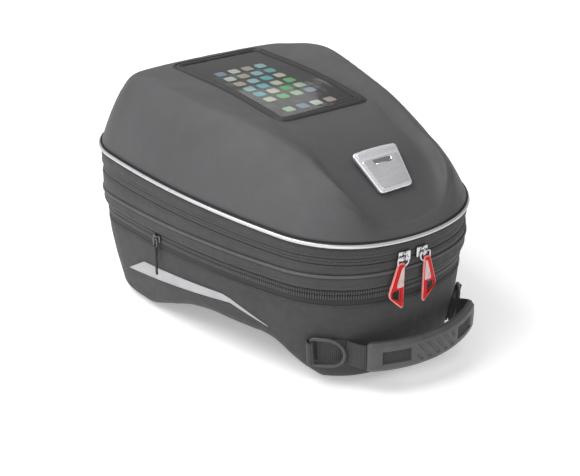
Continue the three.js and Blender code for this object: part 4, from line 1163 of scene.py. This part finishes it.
def build_piping():
    """A fat silver cord between two thin dark flanges."""
    cord = hoop("piping_cord", round_section(1.75, 0.75, rim_z, 16), REFLECTIVE_CORD)
    settle(cord, "lid", "reflective", "piping")
    for name, rise in (("piping_flange_low", -2.05), ("piping_flange_high", 2.05)):
        flange = hoop(name, round_section(0.75, 0.3, lambda y, r=rise: rim_z(y) + r, 8), FLANGE_RUBBER)
        settle(flange, "lid", "weave_fabric")


def coil_turns(name, height, offset, upwards, ends, pitch, depth, rise):
    """A row of coil turns along a zip: each turn is a small rounded bar across the tape."""
    vertices = []
    faces = []
    half = pitch * 0.3
    for x, y, out_x, out_y in even_spots(*ends, pitch, offset):
        first = len(vertices)
        z = height(y)
        for side, out in ((-half, 0), (-half * 0.6, depth), (half * 0.6, depth), (half, 0)):
            for lift in (0.0, rise * 0.25, rise * 0.8, rise):
                bulge = out * (0.35 if lift in (0.0, rise) else 1)
                at = (x - out_y * side + out_x * bulge, y + out_x * side + out_y * bulge)
                vertices.append(place(*at, z + lift * upwards))
        for strip in range(3):
            for level in range(3):
                corner = first + strip * 4 + level
                faces.append((corner, corner + 4, corner + 5, corner + 1))
        low_end = [first + corner for corner in (0, 12, 8, 4)]
        high_end = [first + corner for corner in (3, 7, 11, 15)]
        back = [first + corner for corner in (0, 1, 2, 3, 15, 14, 13, 12)]
        faces += [low_end, high_end, back]
    return finish_mesh(name, vertices, faces, ZIP_TEETH, sharp=COIL_SHARP)


def even_spots(start, end, pitch, offset):
    """Evenly spaced places along the outline between two directions, with their outward normals."""
    fine = steps(start, end, 3000)
    lengths = run_lengths(np.array([outline_at(direction, offset) for direction in fine]))
    count = max(int(lengths[-1] / pitch), 1)
    samples = np.interp(np.linspace(0, lengths[-1], count + 1), lengths, fine)
    return [(*outline_at(direction, offset), *normal_at(direction)) for direction in samples]


def stitches(name, body, heights, offset, ends=WHOLE_ROUND, pitch=3.4, length=2.3, radius=0.32):
    """Sewn rows of small thread bars at heights that may depend on y."""
    vertices = []
    faces = []
    for height in heights:
        for x, y, out_x, out_y in even_spots(*ends, pitch, 0):
            z = height(y) if callable(height) else height
            away = offset(z) if callable(offset) else offset
            middle = Vector((x + out_x * away, y + out_y * away, z))
            along = Vector((-out_y, out_x, 0)) * length / 2
            out, up = Vector((out_x, out_y, 0)) * radius, Vector((0, 0, radius))
            tips = len(vertices)
            for corner in (middle - along, middle + along):
                vertices.append(place(*corner))
            for share in (-0.6, 0.6):
                for corner in (out, up, -out, -up):
                    vertices.append(place(*(middle + along * share + corner)))
            near, far = tips + 2, tips + 6
            for k in range(4):
                following = (k + 1) % 4
                faces.append((tips, near + following, near + k))
                faces.append((tips + 1, far + k, far + following))
                faces.append((near + k, near + following, far + following, far + k))
    settle(finish_mesh(name, vertices, faces, THREAD, sharp=COIL_SHARP), body, "weave_fabric")


def zip_half(name, body, node, outer, meeting, inset, coil, look, directions=None):
    """One tape of a zip from its outer edge to where the tapes meet, with a row of coil turns there."""
    upwards = 1 if outer(0) > meeting(0) else -1
    tape_edge = lambda y: meeting(y) + upwards * TAPE_GAP
    coil_edge = lambda y: meeting(y) + upwards * COIL_GAP
    edges = (outer, tape_edge) if upwards < 0 else (tape_edge, outer)
    section = tape_section(*edges, -inset)
    tape = hoop(name + "_tape", section, look, directions)
    ends = (directions[0], directions[-1]) if directions else WHOLE_ROUND
    turns = coil_turns(name + "_teeth", coil_edge, -inset - 0.1, upwards, ends, *coil)
    settle(joined(name, [tape, turns]), body, "zip_coil", node)


def tape_section(low, high, face):
    """A tape's section: its face with softened edges, and its back."""
    softened, back = face - 0.4, face - 3.6
    return [(back, low), (softened, low), (face, lambda y: blend(low(y), high(y), 0.2)),
            (face, lambda y: blend(low(y), high(y), 0.8)), (softened, high), (back, high)]


def zip_run():
    """The main zip's directions, from one end of the lid's fabric hinge round the nose to the other."""
    end = 180 - HINGE_HALF_ANGLE
    half = [direction for direction in AROUND if 0 < direction < end] + [end]
    return [-direction for direction in reversed(half)] + [0.0] + half


def build_zips():
    """The main zip, which stops at the lid's fabric hinge, and the expansion zip all the way round."""
    main = {"meeting": zip_z, "inset": 0.7, "coil": FINE_COIL, "look": ZIP_TAPE, "directions": zip_run()}
    zip_half("main_zip_low", "expansion_collar", "main_zip_lower", lambda y: zip_z(y) - ZIP_HALF, **main)
    zip_half("main_zip_high", "lid", "main_zip_upper", lambda y: zip_z(y) + ZIP_HALF, **main)
    level = {"meeting": lambda y: EXPANSION_ZIP, "inset": WALL_TOP_INSET + 0.4, "coil": WIDE_COIL,
             "look": DARK_TAPE}
    zip_half("exp_zip_low", "lower_body", "exp_zip_lower", lambda y: SHELL_TOP + 0.2, **level)
    zip_half("exp_zip_high", "expansion_collar", "exp_zip_upper", lambda y: BAND_BOTTOM, **level)


def build_hinge_fabric():
    """The fabric hinge at the far end, between the collar and the lid."""
    edge = HINGE_HALF_ANGLE - 0.1
    directions = [angle if angle <= 180 else angle - 360 for angle in steps(180 - edge, 180 + edge, 16)]
    section = [(-1.1, lambda y, s=share: zip_z(y) + ZIP_HALF * s * 1.25) for share in steps(-1, 1, 14)]
    strip = hoop("hinge_fabric", section, BAND_FABRIC, directions, closed_section=False)
    thicken(strip, 1.6)
    join_bodies(strip, "lid_hinge_fabric")


def build_gusset():
    """The folded fabric behind the expansion zip."""
    section = []
    for share in steps(0, 1, 30):
        fold = math.sin(share * math.pi * GUSSET_FOLDS)
        section.append((-GUSSET_INSET + 0.9 * fold, blend(GUSSET_LOW, GUSSET_HIGH, share)))
    gusset = hoop("expansion_fabric", section, BODY_FABRIC, closed_section=False)
    thicken(gusset, 0.8)
    join_bodies(gusset, "expansion_gusset")


def build_stitching():
    band_rows = [BAND_BOTTOM + 3.6, lambda y: zip_z(y) - ZIP_HALF - 3.0]
    stitches("band_stitches", "expansion_collar", band_rows, 0.45)
    stitches("lid_band_stitches", "lid", [lambda y: zip_z(y) + ZIP_HALF + 3.0], 0.5)
    stitches("shell_stitches", "lower_body", [SHELL_TOP - 3.2], -WALL_TOP_INSET + 0.1)


# ---------------------------------------------------------------- window, phone and badge

def build_window_frame():
    """Rubber border with an outer bead, a flat middle strip and a thin inner lip, parted by channels."""
    bead = [(-0.9, 0.1), (-0.6, 1.1), (0.2, 1.7), (1.0, 1.7), (1.5, 1.1), (1.9, 0.2)]
    strip = [(2.4, 0.2), (2.8, 1.1), (4.9, 1.2), (5.3, 0.2)]
    lip = [(5.7, 0.2), (6.0, 0.95), (6.6, 1.2), (7.2, 0.95), (BORDER_WIDTH, 0.1)]
    profile = [*bead, *strip, *lip, (BORDER_WIDTH, -0.8), (-0.9, -0.8)]
    rows = [spread(window_ring(280, inset, rise)) for inset, rise in profile]
    border = grid_mesh("window_border", placed(rows), FRAME_RUBBER, True, True, 40)
    settle(border, "lid", "rubber", "window_frame")


def build_window_film():
    """The clear window: a sheet that swells a little towards its middle."""
    ring = spread(window_ring(160, BORDER_WIDTH - 0.4, FILM_LIFT))
    middle = (WINDOW_NEAR_Y + WINDOW_FAR_Y) / 2
    rows = []
    for share in steps(0, 1, 12)[1:]:
        row = []
        for x, y, _ in ring:
            own_y = blend(middle, y, 0.35 + 0.65 * share)
            row.append(place(x * share, own_y, panel_z(own_y) + FILM_LIFT + FILM_SWELL * (1 - share)))
        rows.append(row)
    film = grid_mesh("clear_window", rows, film_look(), columns_closed=True)
    close_middle(film, len(rows[0]))
    settle(film, "lid", "window_film", "window_film")


def close_middle(piece, columns):
    """Closes the hole in the middle of a ring grid."""
    with editing(piece.data) as work:
        work.verts.ensure_lookup_table()
        inner = set(work.verts[:columns])
        edges = [edge for edge in work.edges if edge.is_boundary and set(edge.verts) <= inner]
        bmesh.ops.holes_fill(work, edges=edges, sides=0)


def phone_matrix():
    """The phone's screen plane: origin at its middle, x across and y away from the rider."""
    low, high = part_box("phone")
    centre = (low + high) / 2
    slope = math.atan(PHONE_SLOPE)
    return Matrix.Translation(centre) @ Matrix.Rotation(slope, 4, "X")


def box_corners(x, y, half_x, half_y):
    left, right, low, high = x - half_x, x + half_x, y - half_y, y + half_y
    return [(left, low), (right, low), (right, high), (left, high)]


def build_phone():
    """A plain phone: rounded slab and rows of blank tiles, with a dock of four near the rider."""
    turn = phone_matrix()
    flat = Matrix.Rotation(-math.pi / 2, 4, "X")
    outline = rounded(box_corners(0, 0, PHONE_WIDTH / 2, PHONE_LENGTH / 2), PHONE_CORNER)
    body = plate("phone_body", outline, [], PHONE_THICKNESS, 1.4, phone_look(), turn @ flat)
    tiles = []
    lines = [DOCK_Y] + [FIRST_ROW_Y - TILE_PITCH[1] * row for row in range(TILE_ROWS)]
    places = [((column - 1.5) * TILE_PITCH[0], y) for y in lines for column in range(4)]
    palette = [tile_look(index, color) for index, color in enumerate(TILE_COLORS)]
    on_glass = turn @ shift(0, 0, TILE_LIFT) @ flat
    for index, (x, y) in enumerate(places):
        look = palette[(index * 5 + index // 4) % len(palette)]
        corners = rounded(box_corners(x, y, TILE_SIZE / 2, TILE_SIZE / 2), 2.6, 4)
        tiles.append(plate(f"tile_{index}", corners, [], 0.12, 0.03, look, on_glass))
    settle(joined("phone_with_tiles", [body, *tiles]), "lid", "phone_body", "phone")


def build_badge():
    """Satin badge: wide bevelled rim, a raised face with a shallow slot and a crown leaning back above it."""
    low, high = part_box("badge")
    lean = Matrix.Rotation(math.atan(NOSE_PANEL_SLOPE) - math.pi / 2, 4, "X")
    turn = Matrix.Translation((low + high) / 2) @ lean
    # The rim and the crown use the lighter copy of the badge metal, a painted highlight.
    base = plate("badge_base", rounded(BADGE_OUTLINE, 4, 6), [], 3.6, 1.6, BADGE_HIGHLIGHT_RIM, turn)
    slot = rounded(BADGE_SLOT, 1, 3)
    face = plate("badge_face", rounded(BADGE_FACE, 3, 6), [slot], 2.2, 0.8, BADGE_METAL,
                 turn @ shift(0, -1.6, 0))
    lean_back = Matrix.Rotation(math.radians(CROWN_LEAN), 4, "X")
    crown = plate("badge_crown", rounded(BADGE_CROWN, 2, 4), [], 2.2, 0.8, BADGE_HIGHLIGHT_RIM,
                  turn @ shift(0, -1.2, CROWN_MIDDLE) @ lean_back @ shift(0, 0, -CROWN_MIDDLE))
    # The dark plate under the slot is painted shade in it.
    recess = plate("badge_recess_shade", rounded(BADGE_FLOOR, 1, 3), [], 0.3, 0.1, BADGE_RECESS_SHADE,
                   turn @ shift(0, -1.9, 0))
    lip = tube("badge_lip", [spot(turn, x, -2.7, 4.9) for x in (-8, 9.5)], 0.5, CHROME)
    settle(joined("badge_plate", [base, face, crown, recess, lip]), "lid", "badge_metal", "badge")


# ---------------------------------------------------------------- handle, webbing and rings

def grip_line(share):
    """A place and the outward normal along the handle, from -1 to 1. It hangs towards +X, higher there."""
    sagitta = GRIP_END_Y - GRIP_MIDDLE_Y
    radius = (GRIP_HALF ** 2 + sagitta ** 2) / (2 * sagitta)
    angle = math.asin(GRIP_HALF / radius) * share
    x = math.sin(angle) * radius + GRIP_SHIFT
    y = GRIP_MIDDLE_Y + radius - math.cos(angle) * radius
    return Vector((x, y, GRIP_RISE * (1 + share))), Vector((math.sin(angle), -math.cos(angle), 0))


def within(edge, value, softness=0.01):
    """1 up to an edge and 0 beyond it, with a soft change between."""
    return smooth_step(edge + softness, edge - softness, value)


def grip_relief(share, height):
    """How deep the outer face is sunk: two ribbed windows and a plain barred field between them."""
    across = abs(share)
    window = within(GRIP_WINDOW_OUTER, across) * (1 - within(GRIP_WINDOW_INNER, across))
    window *= within(GRIP_WINDOW_HALF, abs(height), 0.4)
    rib = 0.5 - 0.5 * math.cos(share * 2 * math.pi * GRIP_RIBS)
    field = within(GRIP_FIELD_OUTER, across) * within(GRIP_FIELD_HALF, abs(height), 0.4)
    bar = 0.5 - 0.5 * math.cos(share * 46 + height * 0.55)
    return window * (GRIP_WINDOW_DEPTH - 0.6 * rib) + field * GRIP_BAR_DEPTH * smooth_step(0.55, 0.8, bar)


def build_grip():
    """Moulded grip with chamfered edges, thinner towards its ends."""
    half_height, half_thick = GRIP_HEIGHT / 2, GRIP_THICKNESS / 2
    rows = []
    sunk = []
    for share in steps(-1, 1, 420):
        middle, out = grip_line(share)
        end = smooth_step(1, 0.95, abs(share))
        tall = half_height * blend(0.92, 1, end)
        thick = half_thick * blend(0.55, 1, end)
        row = []
        for height in steps(-1, 1, 44):
            z = height * tall
            edge = smooth_step(0.74, 1.0, abs(height))
            reach = thick * (1 - 0.62 * edge) + 0.7 * (1 - height * height)
            relief = grip_relief(share, z)
            reach -= relief * end
            sunk.append(relief > GRIP_WINDOW_DEPTH / 2)
            row.append(middle + out * reach + Vector((0, 0, WEBBING_Z + z)))
        for height in steps(1, -1, 8):
            z = height * tall
            edge = smooth_step(0.7, 1.0, abs(height))
            sunk.append(False)
            row.append(middle - out * thick * (1 - 0.4 * edge) + Vector((0, 0, WEBBING_Z + z)))
        rows.append(row)
    grip = grid_mesh("grip", placed(rows), GRIP_RUBBER, False, True, 50)
    # Faces in the sunk windows get the darker rubber: painted shade in the recesses.
    grip.data.materials.append(GRIP_INSET_SHADE)
    for face in grip.data.polygons:
        face.material_index = int(all(sunk[vertex] for vertex in face.vertices))
    cap_open_ends(grip)
    settle(grip, "carry_handle", "grip_rubber", "handle_grip")


def ribbon(name, line, thickness, height, material):
    """Webbing that stands on edge along a line of (place, outward normal) pairs."""
    half = height / 2
    profile = [(-half + 0.5, 0), (-half, thickness / 2), (-half + 0.5, thickness)]
    profile += [(z, thickness) for z in steps(-half + 1.5, half - 1.5, 6)]
    profile += [(half - 0.5, thickness), (half, thickness / 2), (half - 0.5, 0)]
    profile += [(z, 0) for z in steps(half - 1.5, -half + 1.5, 6)]
    rows = []
    for z, out in profile:
        rows.append([place(*(at + normal * (out - thickness / 2) + Vector((0, 0, WEBBING_Z + z))))
                     for at, normal in line])
    piece = grid_mesh(name, rows, material, True, False, 50)
    cap_open_ends(piece)
    return piece


def build_handle_strap(side, label):
    """One end of the strap: it leaves the grip and curves back to its tab."""
    x, y = outline_at(-side * WEBBING_INNER, wall_offset(WEBBING_Z) + 1.4)
    wall = Vector((x, y, 0))
    wall_normal = Vector((*normal_at(-side * WEBBING_INNER), 0))
    line = [grip_line(side * share) for share in steps(0.9, 1, 4)]
    end, end_normal = line[-1]
    pull = end + (end - line[0][0]) * 0.9
    for t in steps(0, 1, 12)[1:]:
        at = end * (1 - t) ** 2 + pull * 2 * t * (1 - t) + wall * t * t
        line.append((at, (end_normal * (1 - t) + wall_normal * t).normalized()))
    strap = ribbon(f"handle_webbing_{label}", line, 1.7, WEBBING_HEIGHT - 1, WEBBING)
    join_bodies(strap, "handle_strap")


def ring_matrix(side):
    """Axes of a ring's straight bar, which stands off the wall and leans with it."""
    half = WEBBING_HEIGHT / 2
    lean = math.atan2(wall_offset(WEBBING_Z + half) - wall_offset(WEBBING_Z - half), WEBBING_HEIGHT)
    wall = wall_matrix(side * WEBBING_OUTER, wall_offset(WEBBING_Z), WEBBING_Z, lean)
    return wall @ shift(0, RING_STANDOFF, 0)


def build_ring(side, label):
    """D-ring: a straight bar in the webbing loop and a round bow towards the nose."""
    middle = (RING_SIZE - RING_WIRE) / 2
    loop = [(0, z) for z in steps(-middle + 3.5, middle - 3.5, 8)]
    loop += [(0.4, middle - 1.6), (1.6, middle - 0.4), (3.5, middle)]
    loop += [(middle * (1 + math.cos(a)), middle * math.sin(a)) for a in steps(math.pi / 2, -math.pi / 2, 24)]
    loop += [(3.5, -middle), (1.6, -middle + 0.4), (0.4, -middle + 1.6)]
    forwards = math.pi if side > 0 else 0
    turn = ring_matrix(side) @ Matrix.Rotation(forwards + math.radians(RING_REST_TILT) * side, 4, "Z")
    points = [spot(turn, x, 0, z) for x, z in loop]
    ring = tube(f"ring_{label}", points, RING_RADIUS, RING_PLASTIC, closed=True, sides=14)
    settle(ring, f"ring_{label}", "ring_plastic", f"d_ring_{label}")


def build_tab(side, label):
    """The webbing tab: sewn on the wall, folded round the ring's bar."""
    half = WEBBING_HEIGHT / 2
    rows = []
    for z in steps(-half, half, 16):
        row = []
        lift = WEBBING_Z + z
        edge = 0.35 * smooth_step(half - 1.2, half, abs(z))
        for direction in steps(WEBBING_INNER, WEBBING_OUTER - 3.0, 26):
            x, y = outline_at(side * direction, wall_offset(lift) + 1.9 - edge)
            row.append(place(x, y, lift))
        rows.append(row)
    tab = grid_mesh(f"tab_face_{label}", rows, WEBBING, sharp=60)
    thicken(tab, 1.4)
    settle(tab, "lower_body", "webbing", f"webbing_{label}")
    turn = ring_matrix(side)
    angles = steps(-0.75 * math.pi, 0.75 * math.pi, 22)
    loop = []
    for z in steps(-half, half, 12):
        loop.append([spot(turn, math.cos(a) * FOLD_RADIUS, math.sin(a) * FOLD_RADIUS, z) for a in angles])
    fold = grid_mesh(f"tab_fold_{label}", loop, WEBBING, sharp=60)
    thicken(fold, 1.1, offset=1)
    settle(fold, "lower_body", "webbing")
    ends = sorted((side * (WEBBING_INNER + 1), side * (WEBBING_OUTER - 8)))
    for number, edge_z in enumerate((WEBBING_Z - half + 2.2, WEBBING_Z + half - 2.2)):
        stitches(f"tab_stitches_{label}_{number}", "lower_body", [edge_z], lambda z: wall_offset(z) + 2.05,
                 ends, pitch=2.6, length=1.8, radius=0.28)


def build_reflector(side, label):
    """Printed reflective flash, standing a hair proud of the wall."""
    _, flank_y, flank_radius = CENTRES[2]
    far, near = FLASH_LOW_EDGE[-1][0], FLASH_LOW_EDGE[0][0]
    directions = [math.degrees(math.acos((flank_y - y) / flank_radius)) for y in (far, near)]
    rows = []
    for share in steps(0, 1, 8):
        row = []
        for direction in steps(*directions, 90):
            y = outline_at(direction, 0)[1]
            z = blend(look_up(FLASH_LOW_EDGE, y), look_up(FLASH_HIGH_EDGE, y), share)
            x, y = outline_at(side * direction, wall_offset(z) + 0.75)
            row.append(place(x, y, z))
        rows.append(row)
    flash = grid_mesh(f"flash_{label}", rows, REFLECTIVE_PATCH, sharp=60)
    thicken(flash, 0.4)
    settle(flash, "lower_body", "reflective", f"reflector_{label}")


# ---------------------------------------------------------------- sliders and pulls

def zip_matrix(direction):
    """Axes of a place on the main zip."""
    return wall_matrix(direction, 0, zip_z(outline_at(direction, 0)[1]))


def expansion_matrix():
    """Axes of the expansion zip's slider."""
    return wall_matrix(EXPANSION_SLIDER, -WALL_TOP_INSET, EXPANSION_ZIP)


def build_slider(name, turn, length, width, material, body, slot, node):
    """Slider: waisted plate with a raised bridge."""
    x, z = length / 2, width / 2
    outline = [(-x, -z), (-x * 0.2, -z * 0.82), (x, -z), (x, z), (-x * 0.2, z * 0.82), (-x, z)]
    below_face = turn @ shift(0, SLIDER_FACE - SLIDER_THICKNESS / 2, 0)
    base = plate(name + "_plate", rounded(outline, 2.4, 5), [], SLIDER_THICKNESS, 0.7, material, below_face)
    arch = [spot(turn, 0, SLIDER_FACE + BRIDGE_HEIGHT * math.sin(angle), BRIDGE_HALF * math.cos(angle))
            for angle in steps(0, math.pi, 14)]
    feet = [spot(turn, 0, SLIDER_FACE - 0.6, z) for z in (BRIDGE_HALF, -BRIDGE_HALF)]
    bridge = tube(name + "_bridge", [feet[0], *arch, feet[1]], BRIDGE_RADIUS, material, sides=8)
    settle(joined(name + "_body", [base, bridge]), body, slot, node)


def wire_loop(name, turn, corners, radius, material):
    points = [spot(turn, x, 0, z) for x, z in rounded(corners, 2.2, 5)]
    return tube(name, points, radius, material, closed=True)


def build_pull(label, direction, hand):
    """Red moulded pull with a pale border, a clear upper field and an open lower field, on a wire."""
    turn = zip_matrix(direction) @ shift(0, SLIDER_FACE + PULL_AXIS, 0)
    top, low, shoulder, flare = -PULL_TOP, -PULL_LENGTH, -PULL_SHOULDER, PULL_FLARE
    outline = [(0.8, top), (7.4, top), (flare, shoulder + 1), (flare - 1, shoulder - 3.2), (2.6, low),
               (0.8, low + 1.6)]
    inner = [(1.6, top - 0.9), (6.7, top - 0.9), (flare - 1, shoulder + 0.9), (flare - 1.8, shoulder - 2.9),
             (2.7, low + 1.9), (1.6, low + 3)]
    opening = [(4.8, shoulder + 3.6), (flare - 3, shoulder + 3.6), (flare - 2.4, shoulder - 2),
               (4.8, low + 7)]
    clear = [(1.8, top - 3), (4, top - 4), (8.4, shoulder + 9), (8.4, shoulder + 5.6),
             (1.8, shoulder + 5.6)]
    wire_corners = [(-2.9, 0), (7.4, 0), (7.4, -9.4), (2.0, -9.4), (-2.9, -6.0)]

    def handed(corners):
        return [(hand * x, z) for x, z in corners]

    slot = rounded(handed(opening), 0.8, 3)
    border = plate("border", rounded(handed(outline), 1.6, 4), [slot], 2.0, 0.6, PULL_BORDER, turn)
    field = plate("field", rounded(handed(inner), 1.2, 4), [slot], 2.2, 0.35, PULL_RED,
                  turn @ shift(0, 0.5, 0))
    window = plate("clear", rounded(handed(clear), 0.8, 3), [], 2.0, 0.3, PULL_CLEAR,
                   turn @ shift(0, 0.85, 0))
    wire = wire_loop("wire", turn, handed(wire_corners), 0.75, CHROME)
    pull = joined(f"red_pull_{label}", [border, field, window, wire])
    settle(pull, f"pull_{label}", "pull_red", f"pull_{label}")


def build_expansion_pull():
    """Dark cord pull on a small wire, with a sleeve round its top."""
    turn = expansion_matrix() @ shift(0, SLIDER_FACE + PULL_AXIS, 0)
    wire = wire_loop("wire", turn, [(-2.2, 0), (2.2, 0), (2.2, -7.6), (-2.2, -7.6)], 0.65, DARK_METAL)
    shaft = [spot(turn, 0, 0, z) for z in steps(-6.8, -CORD_LENGTH, 12)]
    cord = tube("cord", shaft, 1.25, LOCK_PLASTIC)
    sleeve = tube("sleeve", shaft[:5], 1.6, LOCK_PLASTIC)
    settle(joined("expansion_pull", [wire, cord, sleeve]), "exp_pull", "webbing", "exp_pull")


def build_sliders():
    for label, direction, hand in (("left", SLIDER_LEFT, 1), ("right", SLIDER_RIGHT, -1)):
        build_slider(f"zip_slider_{label}", zip_matrix(direction), 12, 10, CHROME, f"slider_{label}",
                     "chrome", f"slider_{label}")
        build_pull(label, direction, hand)
    build_slider("expansion_slider", expansion_matrix(), 10, 7.4, DARK_METAL, "exp_slider", "slider_dark",
                 "exp_slider")
    build_expansion_pull()


# ---------------------------------------------------------------- CAD nodes that keep their shape

def dress_cad_nodes():
    """Gives the pieces that show their CAD shape a material."""
    looks = {
        "base_skid": skid_look(), "floor_plate": LINING, "pocket_panel": LINING, "lid_pocket_net": net_look(),
        "lock_housing": LOCK_PLASTIC, "lock_cover": LOCK_PLASTIC, "lock_latch": STEEL, "latch_spring": STEEL,
        "release_tab": FRAME_RUBBER, "release_strap": strap_look(),
    }
    looks.update({f"lock_screw_{number}": STEEL for number in range(1, 5)})
    for name, look in looks.items():
        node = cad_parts[name]
        node.data.materials.clear()
        node.data.materials.append(look)


# ---------------------------------------------------------------- stage

CAMERA_AT = (-612.94, -801.90, 542.62)
CAMERA_TOWARDS = (0.54614, 0.72189, -0.42498)
LENS = 72.68
SENSOR = 36
FLOOR_SIZE = 12
TENT_LEVEL = 0.62
TENT_TOWARDS = (-0.24, 0.06, 0.32)
# Lamps: where each stands and what it points at, in metres, then its size and its power.
LAMPS = {
    "key": ((-1.1, 0.25, 1.7), (0, 0, 0.1), 1.2, 26),
    "fill": ((-1.2, -1.6, 0.7), (0, 0, 0.1), 1.4, 7),
    "back": ((0.8, 1.5, 1.5), (0, 0, 0.15), 1.0, 3),
}


def pale_look(name, color, roughness, glow):
    look = Look(name, color, roughness)
    look.vary_color(look.noise(900, 2), 0.995, 1.005)
    look.shader.inputs["Emission Color"].default_value = (1, 1, 1, 1)
    look.shader.inputs["Emission Strength"].default_value = glow
    return look.material


def build_floor():
    bpy.ops.mesh.primitive_plane_add(size=FLOOR_SIZE, location=(0, 0, 0))
    floor = bpy.context.object
    floor.name = "floor"
    floor.data.materials.append(pale_look("pale_floor", 0.9, 0.6, 0.3))


def area_light(name, at, towards, size, power):
    light = bpy.data.lights.new(name, "AREA")
    light.size = size
    light.energy = power
    holder = new_object(name, light)
    holder.location = at
    holder.rotation_euler = (Vector(towards) - Vector(at)).to_track_quat("-Z", "Y").to_euler()


def build_lights():
    """A white backdrop, a light tent brighter above and by the left, and three soft lamps."""
    world = bpy.data.worlds.new("studio")
    world.use_nodes = True
    tree = world.node_tree
    plain = tree.nodes["Background"]
    plain.inputs["Color"].default_value = (1, 1, 1, 1)
    tent = tree.nodes.new("ShaderNodeBackground")
    towards = tree.nodes.new("ShaderNodeVectorMath")
    towards.operation = "DOT_PRODUCT"
    towards.inputs[1].default_value = TENT_TOWARDS
    tree.links.new(tree.nodes.new("ShaderNodeTexCoord").outputs["Generated"], towards.inputs[0])
    level = tree.nodes.new("ShaderNodeMath")
    level.inputs[1].default_value = TENT_LEVEL
    tree.links.new(towards.outputs["Value"], level.inputs[0])
    tree.links.new(level.outputs[0], tent.inputs["Strength"])
    mixed = tree.nodes.new("ShaderNodeMixShader")
    tree.links.new(tree.nodes.new("ShaderNodeLightPath").outputs["Is Camera Ray"], mixed.inputs[0])
    tree.links.new(tent.outputs[0], mixed.inputs[1])
    tree.links.new(plain.outputs[0], mixed.inputs[2])
    tree.links.new(mixed.outputs[0], tree.nodes["World Output"].inputs["Surface"])
    bpy.context.scene.world = world
    bpy.context.scene.view_settings.view_transform = "Standard"
    for name, lamp in LAMPS.items():
        area_light(name, *lamp)


def build_camera():
    camera = bpy.data.cameras.new("camera")
    camera.lens = LENS
    camera.sensor_width = SENSOR
    holder = new_object("camera", camera)
    holder.location = place(*CAMERA_AT)
    holder.rotation_euler = Vector(CAMERA_TOWARDS).to_track_quat("-Z", "Y").to_euler()
    bpy.context.scene.camera = holder


build_lid()
build_lower_shell()
build_upper_band()
build_lid_band()
build_piping()
build_zips()
build_hinge_fabric()
build_gusset()
build_stitching()
build_window_frame()
build_window_film()
build_phone()
build_badge()
build_grip()
for ring_side, ring_label in ((1, "left"), (-1, "right")):
    build_handle_strap(-ring_side, ring_label)
    build_ring(ring_side, ring_label)
    build_tab(ring_side, ring_label)
    build_reflector(ring_side, ring_label)
build_sliders()
dress_cad_nodes()
build_floor()
build_lights()
build_camera()
